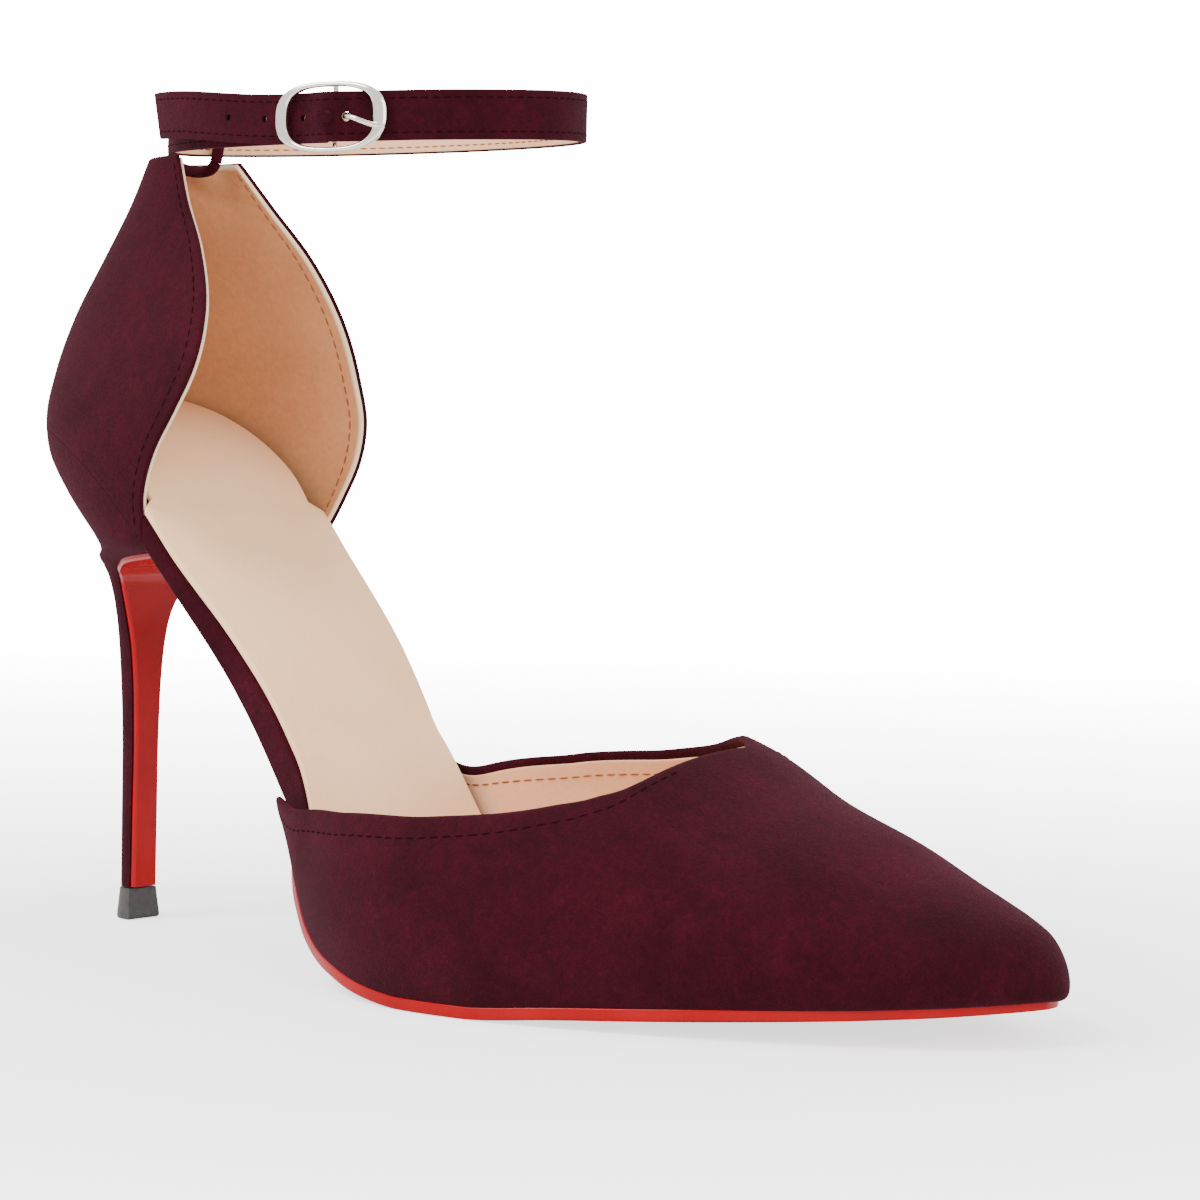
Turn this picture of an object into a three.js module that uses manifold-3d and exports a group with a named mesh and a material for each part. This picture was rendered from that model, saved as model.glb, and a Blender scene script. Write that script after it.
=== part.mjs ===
// Ankle strap pump, right shoe: a pointed toe, open waist, closed heel quarter and a stiletto heel.
// Millimetres, +Z up, +X towards the toe, +Y towards the inner side of the foot.

import * as THREE from 'three';
import Module from 'manifold-3d';

const wasm = await Module();
wasm.setup();

// Driving dimensions of the last
const SHOE_LENGTH = 222;
const SEAT_OVERHANG = 22;
const HEEL_RISE = 94;
const LATERAL_WIDTH = 42;
const MEDIAL_WIDTH = 35;
const INSTEP_HEIGHT = 43;
const TOE_ROUND = 11;
const NOSE_ROUND = 7;
const SEAT_ROUND = 8;
const THROAT_ROUND = 12;
const STATION_COUNT = 32;
const RIDGE_SIDE = 4;

// Driving dimensions of the upper
const UPPER_WALL = 1.8;
const CLEARANCE = 0.3;
const THROAT_PLACE = 139.5;
const LATERAL_WING_PLACE = 60.3;
const MEDIAL_WING_PLACE = 59;
const SIDE_BULGE_ANGLE = 0.3;
const SIDE_FULLNESS = 1.05;
const SEAT_LENGTH = 57;
const SEAT_HALF_WIDTH = 27.2;
const QUARTER_HEIGHT = 50.6;
const QUARTER_ROUNDNESS = 2.4;

// Driving dimensions of the bottom
const SOLE_THICKNESS = 2;
const BOARD_THICKNESS = 5;
const BOARD_EDGE_ROUND = 0.8;
const BOARD_TOE_GAP = 4.5;
const BOARD_VAMP_INSET = 1;
const SOCK_THICKNESS = 1;
const SOCK_MARGIN_LATERAL = 0.4;
const SOCK_MARGIN_MEDIAL = 1.8;
const SOLE_TOE_GAP = 1.8;
const SOLE_INSET_LATERAL = 4;
const SOLE_INSET_MEDIAL = 1.2;
const SHANK_END = 68;
const SHANK_BLEND = 14;
const BREAST_THICKNESS = 0.8;
const TIP_HEIGHT = 6;
const TIP_FLARE = 0.8;
const HEEL_POST_HALF_WIDTH = 3.3;
const HEEL_POST_BACK = -4.7;
const HEEL_POST_FRONT = -0.5;

// Driving dimensions of the ankle strap and its buckle
const STRAP_HEIGHT = 8.6;
const STRAP_THICKNESS = 1.6;
const STRAP_RING = { centreX: 54.1, centreY: 2.5, halfLength: 42, halfWidth: 28.8, bottom: 147 };
const STRAP_PITCH = -0.026;
const STRAP_ROLL = 0.1;
const BUCKLE_ANGLE = -1.17;
const TAIL_LENGTH = 42;
const TAIL_LIFT = 2.2;
const TAIL_STAND_OFF = 1.6;
const TAIL_FREE_START = 8;
const TAIL_LAP_START = 28;
const TAIL_LAP_BLEND = 16;
const TAIL_BUMP = 2.2;
const TAIL_BUMP_REACH = 3.4;
const TAIL_SLANT = 5;
const TAIL_SLANT_SHARE = 0.2;
const HOLE_RADIUS = 0.9;
const HOLE_SPACING = 8;
const HOLE_COUNT = 4;
const PRONG_HOLE_PLACE = 2.8;
const BUCKLE_LENGTH = 19.5;
const BUCKLE_HEIGHT = 12.1;
const BUCKLE_END_BAND = 2.2;
const BUCKLE_SIDE_BAND = 0.9;
const BUCKLE_THICKNESS = 1.4;
const BUCKLE_BOW = 0.6;
const BAR_RADIUS = 0.6;
const PRONG_RADIUS = 0.45;
const PRONG_DROP = 2;
const FOLD_WALL = 0.8;
const FOLD_INSET = 0.2;
const FOLD_HALF_ANGLE = 0.72 * Math.PI;
const PRONG_TIP_SHARE = 0.8;
const LOOP_CORD_RADIUS = 1.1;
const LOOP_FOOT_RISE = 2.9;
const LOOP_FOOT_LIFT = 0.2;

const UPPER_GROWTH = CLEARANCE + UPPER_WALL;
const GROUND_STACK = SOLE_THICKNESS + CLEARANCE;

// Last, from the back of the seat to the toe. Place is a share of the shoe's length, rise of the
// heel's rise, lateral and medial of the two ball widths, and stack of the board's thickness.
const LAST = [
  { place: 0.00, rise: 1.000, lateral: 0.600, medial: 0.715, stack: 1.50 },
  { place: 0.05, rise: 0.990, lateral: 0.602, medial: 0.715, stack: 1.50 },
  { place: 0.10, rise: 0.955, lateral: 0.605, medial: 0.720, stack: 1.35 },
  { place: 0.17, rise: 0.850, lateral: 0.625, medial: 0.695, stack: 1.10 },
  { place: 0.235, rise: 0.671, lateral: 0.568, medial: 0.735, stack: 0.95 },
  { place: 0.30, rise: 0.479, lateral: 0.508, medial: 0.700, stack: 1.20 },
  { place: 0.37, rise: 0.262, lateral: 0.550, medial: 0.555, stack: 1.60 },
  { place: 0.435, rise: 0.078, lateral: 0.740, medial: 0.570, stack: 1.55 },
  { place: 0.50, rise: 0.023, lateral: 0.915, medial: 0.735, stack: 0.95 },
  { place: 0.57, rise: 0.000, lateral: 1.000, medial: 0.900, stack: 0.75 },
  { place: 0.635, rise: 0.000, lateral: 0.985, medial: 0.985, stack: 0.70 },
  { place: 0.70, rise: 0.013, lateral: 0.905, medial: 1.000, stack: 0.70 },
  { place: 0.77, rise: 0.024, lateral: 0.785, medial: 0.930, stack: 0.70 },
  { place: 0.835, rise: 0.034, lateral: 0.643, medial: 0.800, stack: 0.70 },
  { place: 0.90, rise: 0.044, lateral: 0.464, medial: 0.630, stack: 0.70 },
  { place: 1.00, rise: 0.061, lateral: 0.070, medial: 0.310, stack: 0.70 },
];

// Ridge of the vamp, from behind its wings to the toe. Height is a share of the instep's height.
const RIDGE = [
  { place: 0.34, height: 1.38 },
  { place: 0.44, height: 1.33 },
  { place: 0.50, height: 1.27 },
  { place: 0.57, height: 1.20 },
  { place: 0.635, height: 1.12 },
  { place: 0.72, height: 1.00 },
  { place: 0.77, height: 0.855 },
  { place: 0.86, height: 0.675 },
  { place: 0.90, height: 0.580 },
  { place: 0.95, height: 0.470 },
  { place: 1.00, height: 0.360 },
];

// Topline of each wing, from its rear end to the throat. Height is a share of the way from the
// feather line up to the ridge.
const TOPLINE = [
  { place: 0.00, lateral: 0.07, medial: 0.16 },
  { place: 0.05, lateral: 0.18, medial: 0.26 },
  { place: 0.16, lateral: 0.37, medial: 0.47 },
  { place: 0.36, lateral: 0.50, medial: 0.63 },
  { place: 0.615, lateral: 0.59, medial: 0.75 },
  { place: 0.73, lateral: 0.64, medial: 0.82 },
  { place: 0.85, lateral: 0.71, medial: 0.915 },
  { place: 0.92, lateral: 0.77, medial: 0.965 },
  { place: 0.97, lateral: 0.86, medial: 0.99 },
  { place: 1.00, lateral: 1.00, medial: 1.00 },
];

// Heel quarter, from its front corners up to its top. Level is a share of the quarter's height
// above the seat. Back and the two front edges are shares of the seat's length, half of its half
// width.
const QUARTER = [
  { level: -0.43, back: 0.352, lateral: 0.790, medial: 0.795, half: 0.893 },
  { level: -0.27, back: 0.198, lateral: 0.806, medial: 0.865, half: 0.948 },
  { level: -0.12, back: 0.082, lateral: 0.862, medial: 0.925, half: 0.974 },
  { level: 0.03, back: 0.037, lateral: 0.942, medial: 0.955, half: 0.960 },
  { level: 0.185, back: 0.045, lateral: 0.985, medial: 0.960, half: 0.875 },
  { level: 0.42, back: 0.110, lateral: 0.957, medial: 0.945, half: 0.710 },
  { level: 0.645, back: 0.225, lateral: 0.838, medial: 0.875, half: 0.530 },
  { level: 0.84, back: 0.330, lateral: 0.700, medial: 0.755, half: 0.385 },
  { level: 1.00, back: 0.400, lateral: 0.615, medial: 0.650, half: 0.290 },
];

// Heel post below the seat block. Height is a share of the heel's rise, the rest is added to the
// post's own back, front and half width, as shares of the seat's length and half width.
const POST = [
  { height: 0.20, back: 0.004, front: 0.000, half: 0.000 },
  { height: 0.42, back: 0.012, front: 0.000, half: 0.004 },
  { height: 0.51, back: 0.019, front: 0.000, half: 0.020 },
  { height: 0.58, back: 0.021, front: 0.000, half: 0.050 },
  { height: 0.635, back: 0.017, front: 0.002, half: 0.098 },
  { height: 0.68, back: 0.011, front: 0.015, half: 0.165 },
  { height: 0.715, back: 0.006, front: 0.042, half: 0.250 },
  { height: 0.737, back: -0.006, front: 0.095, half: 0.370 },
  { height: 0.755, back: -0.010, front: 0.215, half: 0.520 },
];

// Smooth curve through one column of a table, straight beyond its ends
function column(rows, place, value) {
  const xs = rows.map((row) => row[place]);
  const ys = rows.map((row) => row[value]);
  const last = rows.length - 1;
  const chord = (i) => (ys[i + 1] - ys[i]) / (xs[i + 1] - xs[i]);
  const slope = (i) => {
    if (i === 0) return chord(0);
    if (i === last) return chord(last - 1);
    const before = xs[i] - xs[i - 1];
    const after = xs[i + 1] - xs[i];
    return (chord(i - 1) * after + chord(i) * before) / (before + after);
  };
  return (x) => {
    if (x <= xs[0]) return ys[0] + slope(0) * (x - xs[0]);
    if (x >= xs[last]) return ys[last] + slope(last) * (x - xs[last]);
    const i = xs.findIndex((end, index) => index > 0 && x <= end) - 1;
    const width = xs[i + 1] - xs[i];
    const t = (x - xs[i]) / width;
    const start = (1 + 2 * t) * (1 - t) ** 2 * ys[i] + t * (1 - t) ** 2 * width * slope(i);
    return start + t * t * (3 - 2 * t) * ys[i + 1] + t * t * (t - 1) * width * slope(i + 1);
  };
}

const lastColumn = (name) => {
  const curve = column(LAST, 'place', name);
  return (x) => curve((x + SEAT_OVERHANG) / SHOE_LENGTH);
};
const riseShare = lastColumn('rise');
const lateralShare = lastColumn('lateral');
const medialShare = lastColumn('medial');
const stackShare = lastColumn('stack');
const ridgeShare = column(RIDGE, 'place', 'height');
const toplineShare = {
  lateral: column(TOPLINE, 'place', 'lateral'),
  medial: column(TOPLINE, 'place', 'medial'),
};
const quarterColumn = (name) => {
  const curve = column(QUARTER, 'level', name);
  return (z) => curve((z - SEAT_HEIGHT) / QUARTER_HEIGHT);
};

const TOE_PLACE = SHOE_LENGTH - SEAT_OVERHANG - UPPER_GROWTH;
const SEAT_HEIGHT = GROUND_STACK + HEEL_RISE;
const quarterBack = (z) => quarterColumn('back')(z) * SEAT_LENGTH - SEAT_OVERHANG;
const quarterFront = (z, side) => quarterColumn(side)(z) * SEAT_LENGTH - SEAT_OVERHANG;
const quarterHalf = (z) => quarterColumn('half')(z) * SEAT_HALF_WIDTH;

const quarterAt = (z) => ({
  back: quarterBack(z),
  lateral: quarterFront(z, 'lateral'),
  medial: quarterFront(z, 'medial'),
  half: quarterHalf(z),
});

// Height of the feather line, where upper and sole meet, and its slope
const feather = (x) => GROUND_STACK + Math.max(0, riseShare(x)) * HEEL_RISE;
const featherSlope = (x) => feather(x + 0.5) - feather(x - 0.5);
const alongNormal = (x) => Math.hypot(1, featherSlope(x));
const boardTop = (x) => {
  const sock = SOCK_THICKNESS + CLEARANCE;
  return feather(x) + (stackShare(x) * BOARD_THICKNESS - sock) * alongNormal(x);
};

const roundEnd = (distance, reach) => {
  const share = Math.min(1, Math.max(0, distance / reach));
  return Math.sqrt(1 - (1 - share) ** 2);
};

// Width inside the heel quarter at the height of the feather line
function seatHalf(x, growth, side) {
  const z = feather(x);
  const front = quarterFront(z, side);
  if (x >= front) return Infinity;
  const reach = front - quarterBack(z) - UPPER_GROWTH + growth;
  const half = quarterHalf(z) - UPPER_GROWTH + growth;
  const share = Math.min(1, (front - x) / reach);
  return half * (1 - share ** QUARTER_ROUNDNESS) ** (1 / QUARTER_ROUNDNESS);
}

// Sides of the last's outline at x, grown outwards
function outline(x, growth) {
  const lateral = lateralShare(x) * LATERAL_WIDTH;
  const medial = medialShare(x) * MEDIAL_WIDTH;
  const centre = (medial - lateral) / 2;
  const toe = roundEnd(TOE_PLACE + growth - x, TOE_ROUND + growth);
  const half = ((medial + lateral) / 2 + growth) * toe;
  return {
    lateral: Math.max(centre - half, -seatHalf(x, growth, 'lateral')),
    medial: Math.min(centre + half, seatHalf(x, growth, 'medial')),
  };
}

const point = (x, y, z) => new THREE.Vector3(x, y, z);
const steps = (count) => Array.from({ length: count + 1 }, (_, i) => i / count);
const mix = THREE.MathUtils.lerp;

// Triangles whose equal corners are made one, without flat or doubled ones
function weld(triangles) {
  const points = [];
  const faces = [];
  const found = new Map();
  const indexOf = (corner) => {
    const key = corner.toArray().map((value) => Math.round(value * 2000)).join();
    if (!found.has(key)) found.set(key, points.push(corner) - 1);
    return found.get(key);
  };
  for (const triangle of triangles) {
    const [a, b, c] = triangle.map(indexOf);
    if (a !== b && b !== c && c !== a) faces.push([a, b, c]);
  }
  return { points, faces };
}

function quads(grid) {
  const triangles = [];
  for (let i = 0; i + 1 < grid.length; i++) {
    for (let j = 0; j + 1 < grid[i].length; j++) {
      const [a, b, c, d] = [grid[i][j], grid[i][j + 1], grid[i + 1][j + 1], grid[i + 1][j]];
      triangles.push([a, b, c], [a, c, d]);
    }
  }
  return triangles;
}

function geometryOf({ points, faces }) {
  const volume = faces.reduce((sum, [a, b, c]) => {
    return sum + points[a].dot(points[b].clone().cross(points[c]));
  }, 0);
  const outward = volume > 0 ? faces : faces.map(([a, b, c]) => [a, c, b]);
  const geometry = new THREE.BufferGeometry();
  const corners = points.flatMap((corner) => corner.toArray());
  geometry.setAttribute('position', new THREE.Float32BufferAttribute(corners, 3));
  geometry.setIndex(outward.flat());
  geometry.computeVertexNormals();
  return geometry;
}

// Closed solid through a row of sections, each a ring of the same number of points
function loft(rings, isClosed = false) {
  const grid = rings.map((ring) => [...ring, ring[0]]);
  if (isClosed) return geometryOf(weld(quads([...grid, grid[0]])));
  const cap = (ring, isLast) => {
    const middle = ring.reduce((sum, corner) => sum.clone().add(corner), point(0, 0, 0));
    middle.divideScalar(ring.length);
    return ring.map((corner, i) => {
      const next = ring[(i + 1) % ring.length];
      return isLast ? [middle, corner, next] : [middle, next, corner];
    });
  };
  const ends = [...cap(rings[0], false), ...cap(rings[rings.length - 1], true)];
  return geometryOf(weld([...quads(grid), ...ends]));
}

// Wall under an open sheet whose faces point outwards
function shell(triangles, wall) {
  const { points, faces } = weld(triangles);
  const normals = points.map(() => point(0, 0, 0));
  const open = new Map();
  for (const [a, b, c] of faces) {
    const edge = points[b].clone().sub(points[a]);
    const normal = edge.cross(points[c].clone().sub(points[a]));
    for (const corner of [a, b, c]) normals[corner].add(normal);
    for (const [from, to] of [[a, b], [b, c], [c, a]]) {
      if (!open.delete(`${to},${from}`)) open.set(`${from},${to}`, [from, to]);
    }
  }
  const count = points.length;
  const inner = points.map((corner, i) => {
    return corner.clone().addScaledVector(normals[i].normalize(), -wall);
  });
  const under = faces.map(([a, b, c]) => [a + count, c + count, b + count]);
  const rim = [...open.values()].flatMap(([from, to]) => {
    return [[to, from, from + count], [to, from + count, to + count]];
  });
  return geometryOf({ points: [...points, ...inner], faces: [...faces, ...under, ...rim] });
}

function solidOf(geometry) {
  const vertProperties = new Float32Array(geometry.attributes.position.array);
  const triVerts = new Uint32Array(geometry.index.array);
  return new wasm.Manifold(new wasm.Mesh({ numProp: 3, vertProperties, triVerts }));
}

function cut(geometry, ...cutters) {
  const result = cutters.reduce((solid, cutter) => solid.subtract(solidOf(cutter)),
    solidOf(geometry));
  const mesh = result.getMesh();
  const trimmed = new THREE.BufferGeometry();
  trimmed.setAttribute('position', new THREE.Float32BufferAttribute(mesh.vertProperties, 3));
  trimmed.setIndex([...mesh.triVerts]);
  trimmed.computeVertexNormals();
  return trimmed;
}

// Level section of quarter and heel: round behind, straight across from one front edge to the other
function bay({ back, lateral, medial, half }, z, count) {
  return steps(count).map((share) => {
    const angle = (share - 0.5) * Math.PI;
    const front = angle < 0 ? lateral : medial;
    const side = Math.sign(angle) * Math.abs(Math.sin(angle)) ** (2 / QUARTER_ROUNDNESS);
    const depth = Math.max(0, Math.cos(angle)) ** (2 / QUARTER_ROUNDNESS);
    return point(front - (front - back) * depth, half * side, z);
  });
}

// Section across the shoe with softened long edges
function slab(left, right, top, bottom, x) {
  const round = Math.min(BOARD_EDGE_ROUND, (right - left) / 4, (top - bottom) / 3);
  return [
    point(x, left, bottom + round), point(x, left, top - round), point(x, left + round, top),
    point(x, right - round, top), point(x, right, top - round), point(x, right, bottom + round),
    point(x, right - round, bottom), point(x, left + round, bottom),
  ];
}

// Stations along the shoe, shared by all its pieces, with more of them in a rounded end
function stations(from, to, roundStart = 0, roundFinish = 0) {
  const ease = [0, 0.02, 0.1, 0.3, 0.6, 1];
  const start = ease.map((share) => from + share * roundStart);
  const finish = ease.map((share) => to - share * roundFinish).reverse();
  const shared = steps(STATION_COUNT).map((share) => share * SHOE_LENGTH - SEAT_OVERHANG);
  const inside = shared.filter((x) => x > start.at(-1) + 1 && x < finish[0] - 1);
  return [...new Set([...start, ...inside, ...finish])];
}

function vampPoint(x, angle) {
  const { lateral, medial } = outline(x, UPPER_GROWTH);
  const end = TOE_PLACE + UPPER_GROWTH;
  const nose = roundEnd(end - x, NOSE_ROUND);
  const crest = ridgeShare((x + SEAT_OVERHANG) / SHOE_LENGTH) * INSTEP_HEIGHT;
  const low = -Math.sin(SIDE_BULGE_ANGLE);
  const rise = (Math.sin(angle) - low) / (1 - low);
  const spread = Math.abs(Math.cos(angle) / Math.cos(SIDE_BULGE_ANGLE)) ** SIDE_FULLNESS;
  const ridge = Math.min(Math.max(RIDGE_SIDE, lateral), medial);
  const edge = angle < Math.PI / 2 ? lateral : medial;
  const z = feather(x) + (crest - feather(x)) * nose * rise;
  return point(x, mix(ridge, edge, spread), z);
}

// Angle around the vamp's section at which a wing's topline lies
function toplineAngle(side, share) {
  const low = -Math.sin(SIDE_BULGE_ANGLE);
  const height = Math.min(1, toplineShare[side](share));
  return Math.asin(Math.min(1, low + height * (1 - low)));
}

function vamp() {
  const around = 10;
  const half = (x, side, topAngle) => steps(around).map((share) => {
    const angle = mix(-SIDE_BULGE_ANGLE, topAngle, share);
    return vampPoint(x, side === 'lateral' ? angle : Math.PI - angle);
  });
  const wing = (side, rear) => stations(rear, THROAT_PLACE, 0, THROAT_ROUND).map((x) => {
    return half(x, side, toplineAngle(side, (x - rear) / (THROAT_PLACE - rear)));
  });
  const front = stations(THROAT_PLACE, TOE_PLACE + UPPER_GROWTH, 0, NOSE_ROUND);
  const cap = (side) => front.map((x) => half(x, side, Math.PI / 2));
  const lateral = [...quads(wing('lateral', LATERAL_WING_PLACE)), ...quads(cap('lateral'))];
  const medial = [...quads(wing('medial', MEDIAL_WING_PLACE)), ...quads(cap('medial'))];
  const turned = lateral.map(([a, b, c]) => [a, c, b]);
  return shell([...turned, ...medial], UPPER_WALL);
}

function counter() {
  const columns = 26;
  const rows = 12;
  const top = SEAT_HEIGHT + QUARTER_HEIGHT;
  const sectionAt = (z) => bay(quarterAt(z), z, columns);
  const hem = steps(columns).map((_, j) => {
    let low = SEAT_HEIGHT - QUARTER_HEIGHT;
    let high = SEAT_HEIGHT + QUARTER_HEIGHT;
    for (let i = 0; i < 40; i++) {
      const z = (low + high) / 2;
      if (z < feather(sectionAt(z)[j].x)) low = z;
      else high = z;
    }
    return low;
  });
  const grid = steps(rows).map((share) => hem.map((foot, j) => {
    return sectionAt(mix(foot, top, share))[j];
  }));
  return shell(quads(grid), UPPER_WALL);
}

function insoleBoard() {
  const from = quarterBack(SEAT_HEIGHT) + UPPER_GROWTH;
  const places = stations(from + 0.05, TOE_PLACE - BOARD_TOE_GAP, SEAT_ROUND, TOE_ROUND);
  return loft(places.map((x) => {
    const underVamp = THREE.MathUtils.smoothstep(x, SHANK_END - SHANK_BLEND, SHANK_END);
    const { lateral, medial } = outline(x, -BOARD_VAMP_INSET * underVamp);
    return slab(lateral, medial, boardTop(x), feather(x), x);
  }));
}

function insoleSock() {
  const from = quarterBack(SEAT_HEIGHT) + UPPER_GROWTH + SOCK_MARGIN_MEDIAL;
  const to = TOE_PLACE - TOE_ROUND;
  return loft(stations(from + 0.1, to, SEAT_ROUND).map((x) => {
    const underVamp = THREE.MathUtils.smoothstep(x, SHANK_END - SHANK_BLEND, SHANK_END);
    const { lateral } = outline(x, -SOCK_MARGIN_LATERAL - BOARD_VAMP_INSET * underVamp);
    const { medial } = outline(x, -SOCK_MARGIN_MEDIAL);
    const bottom = boardTop(x) + CLEARANCE * alongNormal(x);
    return slab(lateral, medial, bottom + SOCK_THICKNESS * alongNormal(x), bottom, x);
  }));
}

function outsole() {
  const from = heelFrontPlace() + CLEARANCE * 2;
  const to = TOE_PLACE + UPPER_GROWTH - 0.2;
  return loft(stations(from, to, 0, TOE_ROUND).map((x) => {
    const waist = THREE.MathUtils.smoothstep(SHANK_END - x, 0, SHANK_BLEND);
    const { lateral, medial } = outline(x, UPPER_GROWTH);
    const left = lateral + (SOLE_INSET_LATERAL + UPPER_GROWTH) * waist;
    const right = medial - (SOLE_INSET_MEDIAL + UPPER_GROWTH) * waist;
    const top = feather(x) - CLEARANCE * alongNormal(x);
    const pull = SOLE_TOE_GAP * THREE.MathUtils.smoothstep(x, THROAT_PLACE, to);
    return slab(left, right, top, top - SOLE_THICKNESS * alongNormal(x), x - pull);
  }));
}

const seatCorner = SEAT_HEIGHT + QUARTER[0].level * QUARTER_HEIGHT;

// Place at which the front of the heel's block runs out under the sloping board
function heelFrontPlace() {
  const reach = seatCorner - GROUND_STACK + CLEARANCE;
  let [low, high] = [0, SHANK_END];
  for (let i = 0; i < 40; i++) {
    const x = (low + high) / 2;
    if (feather(x) - CLEARANCE * alongNormal(x) > reach) low = x;
    else high = x;
  }
  return low;
}

// Rows of the heel, from the tip up to the seat, as level sections
function heelRows() {
  const row = (z, back, front, half) => ({ z, back, lateral: front, medial: front, half });
  const post = [{ height: 0, back: 0, front: 0, half: 0 }, ...POST].map((share) => {
    return row(Math.max(TIP_HEIGHT + CLEARANCE, share.height * HEEL_RISE),
      HEEL_POST_BACK - share.back * SEAT_LENGTH, HEEL_POST_FRONT + share.front * SEAT_LENGTH,
      HEEL_POST_HALF_WIDTH + share.half * SEAT_HALF_WIDTH);
  });
  const shelf = row(seatCorner - GROUND_STACK, mix(post.at(-1).back, quarterBack(seatCorner), 0.6),
    heelFrontPlace(), quarterHalf(seatCorner) - UPPER_GROWTH - CLEARANCE);
  const block = steps(5).map((share) => {
    const z = mix(seatCorner, SEAT_HEIGHT + CLEARANCE, share);
    const { back, lateral, medial, half } = quarterAt(z);
    return { z, back, lateral, medial: z === seatCorner ? lateral : medial, half };
  });
  return { post: [...post, shelf], block };
}

// Body above the seat surface, which trims the heel's block
function aboveSeat() {
  const places = steps(40).map((share) => mix(-2 * SEAT_OVERHANG, SEAT_LENGTH, share));
  const seat = (x) => feather(x) - CLEARANCE * alongNormal(x);
  const side = 2 * SEAT_HALF_WIDTH;
  const roof = 2 * SEAT_HEIGHT;
  return loft(places.map((x) => [
    point(x, -side, seat(x)), point(x, side, seat(x)), point(x, side, roof), point(x, -side, roof),
  ]));
}

function heel() {
  const { post, block } = heelRows();
  const rings = [...post, ...block].map((row) => bay(row, row.z, 20));
  return cut(loft(rings), aboveSeat());
}

function heelBreastCover() {
  const { post } = heelRows();
  const path = post.map((row) => new THREE.Vector2(row.lateral, row.z));
  const rings = post.map((row, i) => {
    const ahead = path[Math.min(i + 1, path.length - 1)];
    const behind = path[Math.max(i - 1, 0)];
    const along = ahead.clone().sub(behind).normalize();
    const out = new THREE.Vector2(along.y, -along.x);
    const inner = path[i].clone().addScaledVector(out, CLEARANCE);
    const outer = inner.clone().addScaledVector(out, BREAST_THICKNESS);
    const half = row.half - CLEARANCE;
    return [
      point(inner.x, -half, inner.y), point(inner.x, half, inner.y),
      point(outer.x, half, outer.y), point(outer.x, -half, outer.y),
    ];
  });
  return loft(rings);
}

function heelTip() {
  const levels = [
    { z: 0, flare: 0.7 }, { z: 0.6, flare: 1 }, { z: TIP_HEIGHT, flare: 0.35 },
  ];
  return loft(levels.map(({ z, flare }) => {
    const out = flare * TIP_FLARE;
    const front = HEEL_POST_FRONT + out;
    const half = HEEL_POST_HALF_WIDTH + out;
    return bay({ back: HEEL_POST_BACK - out, lateral: front, medial: front, half }, z, 20);
  }));
}

// Place on the strap's oval: angle, offset outwards and height above its lower edge
function strapPoint(angle, offset, height) {
  const { centreX, centreY, halfLength, halfWidth, bottom } = STRAP_RING;
  const normal = point(Math.cos(angle) / halfLength, Math.sin(angle) / halfWidth, 0).normalize();
  const x = centreX + halfLength * Math.cos(angle) + offset * normal.x;
  const y = centreY + halfWidth * Math.sin(angle) + offset * normal.y;
  const tilt = STRAP_PITCH * (x - centreX) + STRAP_ROLL * (y - centreY);
  return point(x, y, bottom + tilt + height);
}

// Angle reached by going a distance along the oval, forwards for a positive one
function strapAngle(start, distance) {
  const { halfLength, halfWidth } = STRAP_RING;
  const pieces = 48;
  let angle = start;
  for (let i = 0; i < pieces; i++) {
    const speed = Math.hypot(halfLength * Math.sin(angle), halfWidth * Math.cos(angle));
    angle += distance / pieces / speed;
  }
  return angle;
}

const LAYER_PITCH = STRAP_THICKNESS + CLEARANCE;
const strapMiddle = STRAP_HEIGHT / 2;
const strapBump = (distance) => TAIL_BUMP * Math.exp(-((distance / TAIL_BUMP_REACH) ** 2));

// Share of the way along the free tail behind the buckle, by the distance in front of its bar
const tailEnd = (distance) => THREE.MathUtils.smoothstep(-distance, TAIL_FREE_START, TAIL_LENGTH);

// The tail's inner face, by its distance in front of the buckle's bar
function tailOffset(distance) {
  const join = THREE.MathUtils.smoothstep(-distance, -TAIL_LAP_START,
    TAIL_LAP_BLEND - TAIL_LAP_START);
  return LAYER_PITCH * join + strapBump(distance) + TAIL_STAND_OFF * tailEnd(distance);
}

function strapBand() {
  const ring = (angle, offset, lift, lean) => [
    strapPoint(angle, offset, lift), strapPoint(angle, offset + STRAP_THICKNESS, lift),
    strapPoint(angle + lean, offset + STRAP_THICKNESS, lift + STRAP_HEIGHT),
    strapPoint(angle + lean, offset, lift + STRAP_HEIGHT),
  ];
  const startAngle = strapAngle(BUCKLE_ANGLE, -(BAR_RADIUS + FOLD_WALL + CLEARANCE * 2));
  const joinAngle = strapAngle(BUCKLE_ANGLE, TAIL_LAP_START);
  const under = steps(66).map((share) => {
    return ring(mix(startAngle, joinAngle - 2 * Math.PI, share), 0, 0, 0);
  });
  const lap = steps(52).slice(1).map((share) => {
    const distance = mix(TAIL_LAP_START, -TAIL_LENGTH, share);
    const angle = strapAngle(BUCKLE_ANGLE, distance);
    const slant = Math.max(0, (share - 1) / TAIL_SLANT_SHARE + 1) ** 2 * TAIL_SLANT;
    const lift = TAIL_LIFT * tailEnd(distance);
    return ring(angle, tailOffset(distance), lift, -slant / STRAP_RING.halfLength);
  });
  const holes = steps(HOLE_COUNT - 1).map((_, i) => {
    return strapHole(PRONG_HOLE_PLACE - i * HOLE_SPACING);
  });
  return cut(loft([...under, ...lap]), ...holes);
}

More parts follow.
